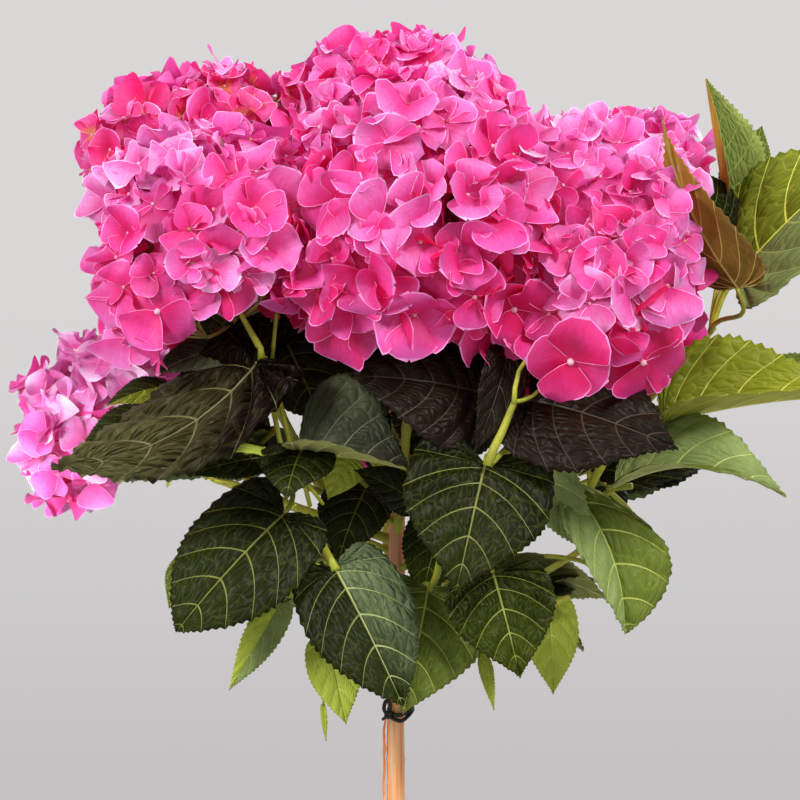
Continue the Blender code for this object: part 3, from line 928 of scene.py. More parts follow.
# %% [markdown]
# ## Leaves
# A hydrangea leaf is broad and pointed, with a toothed edge and a rounded or heart-shaped base. The
# blade is pulled in along the midrib and the side veins, so it swells between them like a quilt. The
# grid's rows follow the side veins: each row leaves the midrib low down, runs forward and reaches the
# edge further on. The lowest rows all start where the stalk joins. Pairs of rows lie close together
# and take the pale vein colour, and every other edge corner is pushed out for a tooth.

# %% Leaf shape
VEINS = 9
ROWS_BETWEEN = np.arange(1, 6) / 6.0  # three teeth for each vein
VEIN_HALF = 0.0029
COLUMNS = np.array([0.0, 0.001, 0.14, 0.29, 0.45, 0.61, 0.77, 0.9, 1.0])
MIDRIB_HALF = 0.00075
TOOTH = 0.0105
VEIN_START, VEIN_BEND = 0.4, 2.3  # a vein sets out sideways, then turns to the tip
FAN = 0.24  # share of the leaf's length whose veins all start at the stalk
RIB_LAG = 1.7
LOBE_END = 0.42


def leaf_rows():
    """Each row's place along the edge, its part between two veins, its side of a vein, and its tooth."""
    rows = [(0.0, 0.0, 0.0, 0.0)]
    for vein in range(VEINS + 1):
        start, end = vein / (VEINS + 1), (vein + 1) / (VEINS + 1)
        if vein:
            rows += [(start, 0.0, -1.0, 1.0), (start, 0.0, 1.0, 1.0)]
        for number, share in enumerate(ROWS_BETWEEN):
            rows.append((start + (end - start) * share, share, 0.0, 1.0 if number % 2 else -0.5))
    rows.append((1.0, 0.0, 0.0, 0.0))
    return np.array(rows)


LEAF_ROWS = leaf_rows()


def leaf_edge(q, taper):
    """The edge's place along the leaf, and its half width as a share of the widest."""
    along = (1.0 - np.cos(math.pi * q)) / 2.0
    widths = np.sin(math.pi * q) * np.clip(1.0 - along, 0.0, 1.0) ** taper
    widest = 0.5 / (1.0 + taper)
    return along, widths / (2.0 * widest**0.5 * (1.0 - widest) ** (0.5 + taper))


def leaf_template():
    """The grid as row and column numbers, its faces, and which faces are veins."""
    cells_long, cells_wide = len(LEAF_ROWS) - 1, 2 * (len(COLUMNS) - 1)
    sheet = bmesh.new()
    bmesh.ops.create_grid(sheet, x_segments=cells_long, y_segments=cells_wide, size=1.0)
    places, faces, _ = template(sheet)
    row = np.rint((places[:, 0] + 1.0) / 2.0 * cells_long).astype(int)
    column = np.rint(places[:, 1] * (len(COLUMNS) - 1)).astype(int)
    side_vein = (LEAF_ROWS[row[faces], 2] != 0.0).all(axis=1)
    midrib = (np.abs(column[faces]) <= 1).all(axis=1)
    return row, column, faces, side_vein | midrib


LEAF = leaf_template()
print("leaf corners:", len(LEAF[0]), "faces:", len(LEAF[2]))

# %% [markdown]
# One function bends the flat leaf into the living one. The fold lifts both halves into a V, the curl
# rolls the edges down, the arch bows the midrib, the swerve bends it sideways, the twist turns the
# leaf about its midrib, and waves lift and lower the edge. The lobe reaches back past the stalk, the
# taper draws the tip out, and the quilt swells the blade between its veins. On an uneven leaf the lean
# makes one half wider than the other, and a bare half starts only some way along the midrib. The leaf
# is then laid from its base to its tip, turned so that its upper side looks the way it is told to face.

# %% Bending a leaf
BENDS = {
    "fold": 0.1, "curl": 0.12, "arch": 0.06, "swerve": 0.0, "twist": 0.0, "lobe": 0.12, "taper": 0.66,
    "quilt": 0.042, "lean": 0.0, "bare": 0.0,
}
EDGE_WAVE = 0.045
MIDRIB_GROOVE = 0.0005


def leaf(rng, base, tip, width, face, tint, **bends):
    """One leaf as a batch of arrays."""
    fold, curl, arch, swerve, twist, lobe, taper, quilt, lean, bare = {**BENDS, **bends}.values()
    row, column, faces, veins = LEAF
    length = float(np.linalg.norm(tip - base))
    step = np.sign(column)
    share = COLUMNS[np.abs(column)]
    q = np.clip(LEAF_ROWS[row, 0] + LEAF_ROWS[row, 2] * VEIN_HALF * (1.0 - 0.65 * share), 0.0, 1.0)
    along, half = leaf_edge(q, taper)
    half = half * (1.0 + lean * step) * (1.0 - bare * (step > 0.0) * (1.0 - along) ** 0.65)
    margin_x = along - lobe * np.sin(math.pi * np.clip(q / LOBE_END, 0.0, 1.0))
    rib_x = (np.clip(along - FAN, 0.0, 1.0) / (1.0 - FAN)) ** RIB_LAG
    x = (rib_x + (margin_x - rib_x) * (VEIN_START * share + (1.0 - VEIN_START) * share**VEIN_BEND)) * length
    margin_y = half * width / 2.0
    midrib = np.minimum(MIDRIB_HALF * (1.0 - 0.7 * rib_x) * min(1.0, width / 0.06), margin_y * 0.3)
    y = step * (midrib + (margin_y - midrib) * share) * (share > 0.0)
    at_edge = (np.abs(column) == len(COLUMNS) - 1) & (q > 0.04) & (q < 0.97)
    tooth = np.where(at_edge, LEAF_ROWS[row, 3], 0.0) * TOOTH * length
    tooth *= rng.uniform(0.85, 1.15, len(tooth)) * (0.45 + half * 0.55)
    x += tooth * 0.7
    y += tooth * step
    z = quilt * width * np.sin(math.pi * LEAF_ROWS[row, 1]) * np.sqrt(share) * (1.0 - 0.6 * share**4)
    z -= np.where(share == 0.0, MIDRIB_GROOVE, 0.0)
    relative = np.abs(y) / (width / 2.0)
    wave = np.sin(q * rng.uniform(7.0, 12.0) + step * rng.uniform(0.5, 2.5) + rng.uniform(0.0, 6.0))
    z += np.abs(y) * fold - curl * width / 2.0 * relative**2 + EDGE_WAVE * width * wave * relative**2
    run = np.clip(x / length, 0.0, 1.0)
    turn = twist * run
    y, z = y * np.cos(turn) - z * np.sin(turn), y * np.sin(turn) + z * np.cos(turn)
    bow = 4.0 * run * (1.0 - run)
    z += arch * length * bow
    y += swerve * length * bow
    forward = (tip - base) / length
    up = np.asarray(face, float)
    up = up - forward * (up @ forward)
    up /= np.linalg.norm(up)
    sideways = np.cross(up, forward)
    places = base + x[:, None] * forward + y[:, None] * sideways + z[:, None] * up
    # A leaf with a tint for each half has painted light and sheen on its lighter half.
    tints = np.where(column[faces].mean(axis=1) < 0.0, *np.broadcast_to(tint, 2))
    return places, faces, 2 * tints + veins, np.c_[q * (VEINS + 1), step * share]


print("bends:", ", ".join(BENDS))

# %% [markdown]
# The blades take plain tints, dealt out leaf by leaf, and many are painted light and shade: near
# black-green and bronze brown painted for the shade under the heads, a grey-green sheen painted on some,
# and a yellow-green painted bright where leaves hang low. A net of finer veins, drawn in the leaf's own
# UV map, puckers the surface. The underside is paler and matt.

# %% Leaf materials
# Blade, veins, underside, a colour that the blade turns to at its tip, how deep the creases are and how
# dark the painted shade in them is.
# Many tints are painted light and shade: dark, bronze and umber are painted near black for the shade under
# the heads; the slate and sage tints are a painted grey-green sheen, a reflection of the room, that fades to
# dark at the tip; light is painted brighter than the leaf is, for light on the low leaves.
LEAF_TINTS = {
    "dark": ((0.0075, 0.011, 0.0008), (0.165, 0.185, 0.02), (0.1, 0.14, 0.04), (0.018, 0.026, 0.002), 0.22),
    "slate": ((0.07, 0.086, 0.042), (0.15, 0.17, 0.075), (0.42, 0.44, 0.14), (0.013, 0.01, 0.005), 0.25),
    "sheen_sage": ((0.145, 0.195, 0.092), (0.33, 0.4, 0.12), (0.2, 0.26, 0.1), (0.016, 0.023, 0.003), 0.55),
    "mid": ((0.018, 0.027, 0.0016), (0.26, 0.3, 0.03), (0.16, 0.21, 0.06), (0.052, 0.074, 0.005), 0.4),
    "green": ((0.12, 0.16, 0.024), (0.46, 0.52, 0.09), (0.36, 0.39, 0.13), (0.15, 0.2, 0.028), 0.25),
    "fresh": ((0.26, 0.34, 0.11), (0.5, 0.57, 0.16), (0.4, 0.44, 0.17), (0.24, 0.32, 0.095), 0.18),
    "light": ((0.42, 0.52, 0.06), (0.62, 0.7, 0.13), (0.5, 0.58, 0.16), (0.46, 0.56, 0.065), 0.1),
    "olive": ((0.175, 0.215, 0.012), (0.72, 0.7, 0.11), (0.46, 0.46, 0.08), (0.35, 0.38, 0.022), 0.22),
    "moss": ((0.135, 0.165, 0.012), (0.74, 0.76, 0.1), (0.4, 0.42, 0.08), (0.22, 0.26, 0.014), 0.4),
    "bronze": (
        (0.008, 0.0038, 0.0016), (0.125, 0.115, 0.034), (0.06, 0.05, 0.02), (0.115, 0.112, 0.036), 0.75,
    ),
    "umber": (
        (0.0125, 0.0062, 0.0026), (0.044, 0.03, 0.011), (0.06, 0.05, 0.02), (0.011, 0.0075, 0.003), 0.25,
    ),
    "autumn": ((0.22, 0.28, 0.06), (0.4, 0.45, 0.1), (0.42, 0.29, 0.03), (0.24, 0.3, 0.065), 0.2),
    "rust": ((0.16, 0.1, 0.02), (0.44, 0.33, 0.08), (0.15, 0.082, 0.013), (0.52, 0.24, 0.034), 0.3),
}
TINT = {name: index for index, name in enumerate(LEAF_TINTS)}
TIP_FROM, TIP_TO = 0.42 * (VEINS + 1), 0.86 * (VEINS + 1)
NET_CELLS = (1.8, 8.5, 1.0)  # cells of the net along one vein's field, and across half the blade
FOLD_PATTERN = {"Scale": 2.1, "Distortion": 3.2, "Detail": 2.0, "Detail Scale": 1.4}


def blade_material(name, colour, vein, tip, crease_depth_and_shade, roughness, relief):
    """A leaf blade with its net of small veins, and folds that cross from vein to vein like a ladder, with
    painted shade in their creases.
    """
    material, tree, shader = new_material("leaf_" + name, roughness, 0.12)
    coordinate = node(tree, "ShaderNodeTexCoord").outputs
    net = node(tree, "ShaderNodeTexVoronoi", feature="DISTANCE_TO_EDGE")
    net.inputs["Scale"].default_value = 1.0
    tree.links.new(stretched(tree, coordinate["UV"], NET_CELLS), net.inputs["Vector"])
    folds = node(tree, "ShaderNodeTexWave", bands_direction="Y")
    for socket, value in FOLD_PATTERN.items():
        folds.inputs[socket].default_value = value
    tree.links.new(coordinate["UV"], folds.inputs["Vector"])
    cloud = noise_value(tree, coordinate["Object"], 38.0, 3.0)
    blotches = ramp(tree, cloud, [(0.35, shaded(colour, 0.75)), (0.68, shaded(colour, 1.3))])
    # The creases of the folds are darkened as painted shade.
    painted_crease_shade = mask(tree, folds.outputs["Fac"], [(0.0, crease_depth_and_shade), (0.45, 0.0)])
    tone = mixed_colour(tree, painted_crease_shade, blotches, shaded(colour, 0.45))
    reach = ranged(tree, axes_of(tree, coordinate["UV"])["X"], TIP_FROM, TIP_TO)
    turned = mixed_colour(tree, reach, tone, tip)
    netting = mask(tree, net.outputs["Distance"], [(0.0, 0.15), (0.07, 0.0)])
    tree.links.new(mixed_colour(tree, netting, turned, vein), shader.inputs["Base Color"])
    puckers = mask(tree, net.outputs["Distance"], [(0.0, 0.0), (0.28, 1.0)])
    height = summed(tree, ((puckers, 1.0), (folds.outputs["Fac"], 0.35)))
    bump(tree, shader, height, relief, 0.001 + 0.0016 * crease_depth_and_shade)
    return material


leaf_slots = []
for tint_name, (blade, vein, _, tip, crease_depth_and_shade) in LEAF_TINTS.items():
    leaf_slots.append(blade_material(tint_name, blade, vein, tip, crease_depth_and_shade, 0.44, 0.25 + crease_depth_and_shade))
    leaf_slots.append(plain_material("vein_" + tint_name, vein, 0.5, 120.0))
front_count = len(leaf_slots)
for tint_name, (_, vein, back, tip, crease_depth_and_shade) in LEAF_TINTS.items():
    back_vein = vein if tint_name == "rust" else shaded(back, 1.6)
    back_tip = tip if tint_name == "rust" else back
    leaf_slots.append(blade_material(tint_name + "_back", back, back_vein, back_tip, crease_depth_and_shade / 2, 0.7, 0.25))
    leaf_slots.append(plain_material("vein_" + tint_name + "_back", back_vein, 0.6, 120.0))
print("leaf materials:", len(leaf_slots))

# %% [markdown]
# The leaves at the front are set one by one: base and tip as places in the view with their depths,
# the real width, the way the upper side faces, and a tint, or a tint for each half, the lighter one
# painted light and sheen on that half. A few bends make each its own. Each belongs to the leaf mass that
# it stands in. The last four stand inside the crown and look to the sides, so that it is closed from
# there too.

# %% Leaves placed one by one
# For each mass: base and tip (across, down, depth), width, facing, tint or both halves' tints (the
# lighter half painted light and sheen), and bends.
PLACED_LEAVES = {
    "left": [
        ((256, 364, -0.1), (52, 470, -0.125), 0.074, (-0.1, -0.84, 0.54), "bronze",
         {"fold": -0.12, "curl": 0.12, "arch": 0.04, "swerve": 0.15, "lobe": 0.24, "taper": 0.52,
          "quilt": 0.17, "lean": -0.12}),
        ((264, 364, -0.05), (190, 298, -0.07), 0.086, (-0.25, -0.85, 0.35), "bronze", {"fold": 0.1}),
        ((166, 386, -0.075), (106, 406, -0.09), 0.026, (-0.1, -0.6, 0.75), ("dark", "moss"), {}),
        ((216, 350, -0.084), (156, 374, -0.098), 0.036, (0.0, -0.6, 0.8), "slate", {}),
        ((264, 451, -0.092), (200, 459, -0.104), 0.02, (0.0, -0.35, 0.93), "light", {"arch": 0.12}),
        ((264, 457, -0.07), (188, 476, -0.085), 0.026, (0.0, -0.8, 0.5), "dark", {}),
        ((148, 418, -0.05), (80, 449, -0.066), 0.03, (0.0, -0.8, 0.5), "dark", {}),
    ],
    "left_inner": [
        ((299, 452, -0.085), (411, 470, -0.105), 0.076, (0.05, -0.55, 0.83), "slate",
         {"fold": 0.85, "curl": 0.0, "arch": 0.03, "lobe": 0.1}),
        ((301, 452, -0.095), (286, 500, -0.125), 0.048, (-0.1, -0.75, 0.6), "dark",
         {"arch": 0.1, "lobe": 0.2}),
        ((366, 488, -0.045), (338, 562, -0.06), 0.05, (-0.3, -0.9, 0.25), "dark", {"fold": 0.2}),
        ((286, 342, -0.03), (322, 425, -0.045), 0.076, (0.2, -0.9, 0.2), "dark", {}),
        ((348, 458, -0.06), (328, 499, -0.065), 0.026, (0.1, -0.9, 0.3), "light", {}),
        ((412, 500, -0.05), (354, 470, -0.07), 0.03, (0.0, -0.8, 0.5), "dark", {}),
        ((388, 484, -0.03), (360, 506, -0.04), 0.026, (0.0, -0.8, 0.5), "green", {}),
        ((345, 345, -0.01), (380, 430, -0.015), 0.072, (0.0, -0.9, 0.3), "bronze", {}),
        ((405, 420, 0.02), (392, 508, 0.016), 0.052, (0.0, -0.95, 0.2), "dark", {}),
    ],
    "low_left": [
        ((285, 513, -0.08), (176, 632, -0.105), 0.08, (-0.12, -0.93, 0.32), "dark",
         {"fold": 0.05, "curl": 0.12, "lobe": 0.18, "taper": 0.36}),
        ((279, 604, -0.055), (229, 690, -0.06), 0.024, (0.3, -0.9, 0.2), ("light", "fresh"),
         {"fold": 0.25}),
        ((192, 560, -0.04), (169, 608, -0.045), 0.024, (-0.3, -0.9, 0.2), "green", {}),
    ],
    "low_front": [
        ((335, 568, -0.09), (403, 706, -0.115), 0.07, (0.08, -0.93, 0.28), ("dark", "sheen_sage"),
         {"fold": 0.1, "curl": 0.12, "lobe": 0.16, "taper": 0.42}),
        ((428, 588, -0.065), (403, 714, -0.085), 0.084, (0.15, -0.95, 0.12), "green",
         {"fold": 0.12}),
        ((330, 640, -0.055), (346, 724, -0.06), 0.036, (-0.1, -0.95, 0.1), "light", {}),
        ((323, 706, -0.05), (326, 741, -0.05), 0.004, (0.0, -0.95, 0.1), "light", {}),
    ],
    "front": [
        ((485, 464, -0.112), (456, 592, -0.138), 0.092, (0.05, -0.9, 0.4), "dark",
         {"fold": 0.05, "curl": 0.14, "lobe": 0.27}),
        ((493, 573, -0.085), (520, 678, -0.1), 0.07, (0.1, -0.95, 0.15), "mid",
         {"curl": 0.2, "quilt": 0.075}),
        ((482, 652, -0.06), (494, 710, -0.06), 0.009, (0.1, -0.95, 0.1), "light", {"lobe": 0.0}),
        ((441, 520, -0.03), (420, 602, -0.04), 0.042, (0.0, -0.95, 0.1), "mid", {}),
    ],
    "centre": [
        ((478, 392, -0.085), (348, 376, -0.11), 0.088, (0.0, -0.8, 0.45), "umber", {"curl": 0.15}),
        ((508, 350, -0.1), (474, 452, -0.118), 0.034, (0.5, -0.8, 0.1), "umber", {"fold": 0.3}),
        ((478, 408, -0.06), (422, 432, -0.075), 0.034, (0.0, -0.9, 0.3), "slate", {}),
        ((450, 400, -0.01), (430, 480, -0.02), 0.07, (0.0, -0.95, 0.2), "dark", {}),
        ((430, 345, -0.03), (450, 420, -0.05), 0.08, (0.1, -0.9, 0.2), "bronze", {}),
        ((520, 375, -0.03), (512, 450, -0.04), 0.056, (0.0, -0.95, 0.2), "dark", {}),
    ],
    "right_inner": [
        ((530, 400, -0.095), (678, 450, -0.125), 0.09, (0.05, -0.8, 0.5), "umber",
         {"curl": 0.15, "lobe": 0.16}),
        ((530, 444, -0.076), (590, 548, -0.068), 0.036, (0.1, -0.95, 0.2), "fresh",
         {"lobe": 0.0, "swerve": -0.04, "taper": 0.3}),
        ((545, 350, -0.04), (625, 410, -0.055), 0.08, (0.0, -0.9, 0.3), "bronze", {}),
    ],
    "right_upper": [
        ((664, 423, -0.05), (856, 396, -0.06), 0.068, (0.0, -0.5, 0.86), "olive",
         {"fold": 0.9, "curl": 0.0, "arch": 0.04, "lobe": 0.06}),
        ((752, 376, -0.01), (852, 366, -0.015), 0.024, (0.1, -0.8, 0.5), "green", {}),
    ],
    "right_lower": [
        ((615, 487, -0.06), (786, 497, -0.085), 0.074, (0.03, -0.5, 0.86), ("green", "fresh"),
         {"fold": 0.55, "curl": 0.0, "arch": 0.17, "lobe": 0.04}),
        ((604, 486, -0.03), (620, 522, -0.035), 0.026, (0.2, -0.85, 0.4), "dark", {}),
        ((600, 506, -0.03), (638, 532, -0.035), 0.018, (0.2, -0.6, 0.8), "slate", {}),
    ],
    "low_right": [
        ((566, 482, -0.06), (625, 634, -0.08), 0.106, (0.22, -0.95, 0.1), ("fresh", "green"),
         {"fold": 0.35, "curl": 0.02, "swerve": 0.085, "twist": -0.4, "lobe": 0.0, "taper": 0.34,
          "lean": 0.5, "bare": 0.97}),
    ],
    "low_back": [
        ((548, 602, 0.0), (553, 694, 0.0), 0.038, (0.2, -0.95, 0.1), "light", {}),
    ],
    "far_right": [
        ((738, 276, -0.012), (890, 138, -0.03), 0.09, (-0.35, -0.75, 0.55), ("fresh", "moss"),
         {"fold": 0.25, "curl": 0.05, "lobe": 0.15}),
    ],
    "high_right": [
        ((724, 197, 0.004), (706, 79, 0.0), 0.034, (0.6, -0.7, 0.1), "autumn",
         {"fold": 1.4, "curl": 0.0, "arch": 0.0, "lobe": 0.0}),
        ((738, 288, -0.105), (662, 118, -0.148), 0.056, (0.6, 0.74, 0.3), "rust",
         {"fold": 0.1, "curl": 0.1, "arch": 0.0, "swerve": -0.075, "lobe": 0.04, "taper": 1.3}),
        ((724, 228, -0.01), (688, 168, -0.015), 0.038, (0.2, -0.9, 0.3), "dark", {}),
        ((738, 190, 0.01), (762, 126, 0.012), 0.034, (0.2, -0.95, 0.1), "green", {}),
    ],
    "back_right": [
        ((590, 372, 0.06), (606, 272, 0.02), 0.07, (0.95, 0.05, 0.3), "mid", {}),
        ((585, 372, 0.08), (600, 268, 0.09), 0.076, (0.95, 0.15, 0.25), "dark", {}),
    ],
    "back_left": [
        ((245, 362, 0.06), (228, 262, 0.03), 0.07, (-0.95, 0.05, 0.3), "dark", {}),
        ((250, 362, 0.09), (232, 258, 0.1), 0.076, (-0.95, 0.15, 0.25), "mid", {}),
    ],
}

print("masses with placed leaves:", len(PLACED_LEAVES))

# %% [markdown]
# A leaf hangs on a stalk, which leaves a cane, a shoot or the stem at the nearest place that isn't far
# above the leaf. So the limbs' paths are worked out first, and their points are the feet to choose
# from. A wider leaf gets a thicker stalk.

# %% Leaf stalks
LIMB_STEPS = 90
LOWEST_STEP = 8  # no stalk leaves a limb nearer to its foot
LEAFY_STEM = np.linspace(0.53, 0.66, 27)  # heights on the stem that a stalk may leave
CLIMB_COST = 0.8  # how much a foot above the leaf counts against it
STALK_STEPS = 9
STALK_THICK, STALK_THICK_BY_WIDTH = 0.0008, 0.01

limb_paths = {}
for name, row in {**HEADS, **LEAF_MASSES}.items():
    if row[2] is not None:
        limb_paths[name] = cane_path(row[2], row[3], np.array(row[0]), LIMB_STEPS + 1)
limb_points = np.concatenate([path[LOWEST_STEP : int(HUB_AT * LIMB_STEPS)] for path in limb_paths.values()])
limb_points = np.concatenate([limb_points, [stem_centre(height) for height in LEAFY_STEM]])
leaf_stalk_runs = []


def leaf_stalk(base, tip, width):
    """A stalk from the nearest limb, leaving it sideways and running on into the midrib."""
    offsets = limb_points - base
    cost = np.linalg.norm(offsets, axis=1) + CLIMB_COST * np.clip(offsets[:, 2], 0.0, None)
    foot = limb_points[np.argmin(cost)]
    span = np.linalg.norm(base - foot)
    forward = (tip - base) / np.linalg.norm(tip - base)
    near_foot = foot + (base - foot) * 0.3 + [0.0, 0.0, span * 0.1]
    path = bezier(foot, near_foot, base - forward * span * 0.35, base, STALK_STEPS)
    thick = STALK_THICK + STALK_THICK_BY_WIDTH * width
    leaf_stalk_runs.append((path, np.linspace(thick * 1.25, thick, STALK_STEPS)))


print("limbs:", len(limb_paths))

# %% [markdown]
# Now the leaves of the table are bent, laid in place and hung on their stalks. Each has a seed of its
# own, so that changing one leaves the others as they are.

# %% Placing the leaves
LEAF_SEED = 500
batches_of_mass = {name: [] for name in LEAF_MASSES}
placed = [(mass, *row) for mass, rows in PLACED_LEAVES.items() for row in rows]
for number, (mass, base, tip, width, face, tint, bends) in enumerate(placed):
    rng = np.random.default_rng(LEAF_SEED + number)
    base, tip = seen_at(*base), seen_at(*tip)
    halves = [TINT[name] for name in ((tint, tint) if isinstance(tint, str) else tint)]
    batches_of_mass["leaves_" + mass].append(leaf(rng, base, tip, width, face, halves, **bends))
    leaf_stalk(base, tip, width)
print("placed leaves:", len(placed))

# %% [markdown]
# Some stalks show from end to end between the leaves, and need their own course. Each is a line of
# places in the view, with its depth and its radius in millimetres at either end.

# %% Stalks that show
SHOWING_STALKS = [
    ((488, 466), (494, 448), (503, 430), (511, 410), (515, 401), -0.118, -0.112, 3.1, 1.9),
    ((514, 404), (515, 388), (519, 371), (526, 360), (537, 353), -0.124, -0.116, 1.7, 1.2),
    ((514, 402), (524, 400), (533, 396), (542, 387), -0.112, -0.108, 1.5, 1.0),
    ((492, 463), (507, 447), (524, 426), (536, 410), -0.118, -0.084, 1.9, 1.2),
    ((283, 457), (279, 436), (274, 414), (270, 396), -0.082, -0.066, 1.7, 1.6),
    ((292, 457), (287, 432), (281, 406), (276, 386), -0.08, -0.064, 1.7, 1.5),
    ((236, 302), (243, 318), (252, 334), (260, 348), (262, 362), -0.104, -0.1, 1.4, 2.6),
    ((279, 300), (276, 320), (274, 340), (272, 362), -0.098, -0.09, 1.3, 1.3),
    ((303, 476), (306, 490), (310, 506), -0.112, -0.1, 1.5, 1.5),
    ((305, 478), (313, 491), (323, 504), -0.113, -0.1, 1.4, 1.2),
    ((313, 526), (320, 541), (328, 556), (336, 570), -0.07, -0.092, 2.6, 2.9),
    ((292, 560), (304, 562), (316, 565), (328, 570), -0.078, -0.088, 1.5, 1.8),
    ((441, 545), (440, 562), (436, 577), (429, 592), -0.04, -0.066, 2.8, 2.2),
    ((606, 458), (597, 474), (589, 490), (580, 508), -0.052, -0.044, 2.6, 2.8),
    ((586, 512), (600, 498), (614, 488), (632, 486), -0.046, -0.062, 2.0, 2.2),
    ((546, 556), (560, 557), (578, 560), (598, 567), -0.02, -0.05, 1.6, 1.4),
]
for *spots, near, far, thick, thin in SHOWING_STALKS:
    depths = np.linspace(near, far, len(spots))
    places = np.array([seen_at(*spot, depth) for spot, depth in zip(spots, depths)])
    leaf_stalk_runs.append((places, np.linspace(thick, thin, len(spots)) / 1000.0))
print("stalks that show:", len(SHOWING_STALKS))

# %% [markdown]
# Behind, the leaves follow a rule instead. Each starts on the side of its mass that is nearest the
# stem, and reaches out and down to the mass's far surface. Its upper side faces out and up, as a leaf
# turns to the light.

# %% Leaves grown by rule
RULE_TINTS = ("dark", "mid", "green", "slate", "dark", "light", "mid")
RULE_SEED = 900
SHORTEST_LEAF = 0.06
# Left, top, right and bottom of an open place in the view; leaves behind it are lifted out of it.
SKY = (600, 440, 800, 560)


def rule_leaf(rng, centre, halves, index):
    """A leaf that grows from the inner side of its mass to the outer."""
    outward = np.array([centre[0], centre[1], 0.0])
    outward /= np.linalg.norm(outward)
    around = np.cross([0.0, 0.0, 1.0], outward)
    base = centre - outward * halves * 0.75 + rng.uniform(-0.3, 0.3, 3) * halves
    swing = rng.uniform(-1.2, 1.2)
    fall = rng.uniform(-1.0, 0.2)
    aim = outward * math.cos(swing) + around * math.sin(swing) + np.array([0.0, 0.0, fall])
    aim /= np.linalg.norm(aim)
    tip = centre + aim * halves * rng.uniform(0.92, 1.1)
    (across,), (down,) = in_view(tip[None])
    if SKY[0] < across < SKY[2] and SKY[1] < down < SKY[3]:
        tip += np.array([0.0, 0.0, (down - SKY[1]) * VIEW_WIDTH / VIEW_SIZE])
    length = max(SHORTEST_LEAF, np.linalg.norm(tip - base))
    tip = base + (tip - base) / np.linalg.norm(tip - base) * length
    face = outward * 0.7 + np.array([0.0, 0.0, 0.65]) + rng.normal(scale=0.2, size=3)
    tint = [TINT[RULE_TINTS[index % len(RULE_TINTS)]]] * 2
    bends = {"fold": rng.uniform(0.0, 0.2), "curl": rng.uniform(0.08, 0.25), "arch": rng.uniform(0.04, 0.14)}
    width = length * rng.uniform(0.7, 0.82)
    leaf_stalk(base, tip, width)
    return leaf(rng, base, tip, width, face, tint, **bends)


for number, (name, (centre, halves, _, _, count)) in enumerate(LEAF_MASSES.items()):
    rng = np.random.default_rng(RULE_SEED + number)
    for index in range(count):
        batches_of_mass[name].append(rule_leaf(rng, np.array(centre), np.array(halves), index))
print("leaves grown by rule:", sum(row[-1] for row in LEAF_MASSES.values()))

# %% [markdown]
# The leaves of a mass are joined into one object. Its blades are still sheets without any thickness,
# so a Solidify modifier thickens them downwards and gives the underside its own set of materials.

# %% Blades with a thickness
LEAF_THICKNESS = 0.0004
for name, batches in batches_of_mass.items():
    piece = joined(name.replace("leaves", "blades"), batches, leaf_slots, weld=True)
    thicken = piece.modifiers.new("thickness", "SOLIDIFY")
    thicken.thickness = LEAF_THICKNESS
    thicken.offset = -1.0
    thicken.material_offset = front_count
    place(piece, "leaves", name)

# %% [markdown]
# ## Canes, shoots and stalks
# The canes are last year's growth: round, yellow-green, freckled with purple, and a little swollen at
# each pair of leaves. The shoots that carry leaves only are thinner, and leaf stalks and flower stalks
# are thinner still and smoother.

# %% Canes and shoots
CANE_NODES = (0.22, 0.42, 0.62)
NODE_SWELLING, NODE_LENGTH = 0.22, 0.012


def limb_run(name, thick, thin, stop):
    """The path and radii of a limb, up to a share of its length."""
    path = limb_paths[name][: int(stop * LIMB_STEPS) + 1]
    share = np.linspace(0.0, stop, len(path))
    radii = thick + (thin - thick) * share
    for joint in CANE_NODES:
        radii = radii * (1.0 + NODE_SWELLING * np.exp(-(((share - joint) / NODE_LENGTH) ** 2)))
    return path, radii


def cane_material(name, colour, freckle):
    material, tree, shader = new_material(name, 0.5, 0.35)
    coordinate = node(tree, "ShaderNodeTexCoord").outputs["Object"]
    tone = noise_value(tree, coordinate, 60.0, 3.0)
    base = ramp(tree, tone, [(0.35, shaded(colour, 0.78)), (0.66, shaded(colour, 1.2))])
    spots = node(tree, "ShaderNodeTexVoronoi")
    spots.inputs["Scale"].default_value = 520.0
    tree.links.new(coordinate, spots.inputs["Vector"])
    freckles = mask(tree, spots.outputs["Distance"], [(0.2, 1.0), (0.28, 0.0)])
    tree.links.new(mixed_colour(tree, freckles, base, freckle), shader.inputs["Base Color"])
    bump(tree, shader, tone, 0.3, 0.0005)
    return material


cane_bark = cane_material("cane_bark", (0.44, 0.45, 0.045), (0.22, 0.15, 0.04))
stalk_green = cane_material("leaf_stalk", (0.38, 0.4, 0.038), (0.3, 0.27, 0.03))
stalk_pink = cane_material("flower_stalk", (0.42, 0.34, 0.1), (0.45, 0.16, 0.12))
cane_runs = [limb_run(name, CANE_RADIUS, CANE_TIP_RADIUS, HUB_AT + 0.02) for name in HEADS]
shoot_runs = [
    limb_run(name, SHOOT_RADIUS, SHOOT_TIP_RADIUS, HUB_AT) for name in LEAF_MASSES if name in limb_paths
]
cane_nodes = [head.replace("head", "cane") for head in HEADS]
shoot_nodes = [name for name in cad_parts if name.startswith("shoot_")]
place(tubes("canes", cane_runs, 5, [cane_bark]), "green_wood", *cane_nodes)
place(tubes("shoots", shoot_runs, 4, [cane_bark]), "green_wood", *shoot_nodes)
place(tubes("leaf_stalks", leaf_stalk_runs, 3, [stalk_green]), "green_wood")
place(tubes("flower_stalks", stalk_runs, 1, [stalk_pink]), "green_wood")

# %% [markdown]
# ## The stem
# The stem is woody: tan, with long ridges in its bark and rings where old leaves fell. The ridges come
# from real displacement, so they also show in the outline. Higher up the bark is redder and darker, but
# its colour there is painted about as light as the tan below, as light on the stem in the leaves' shade.

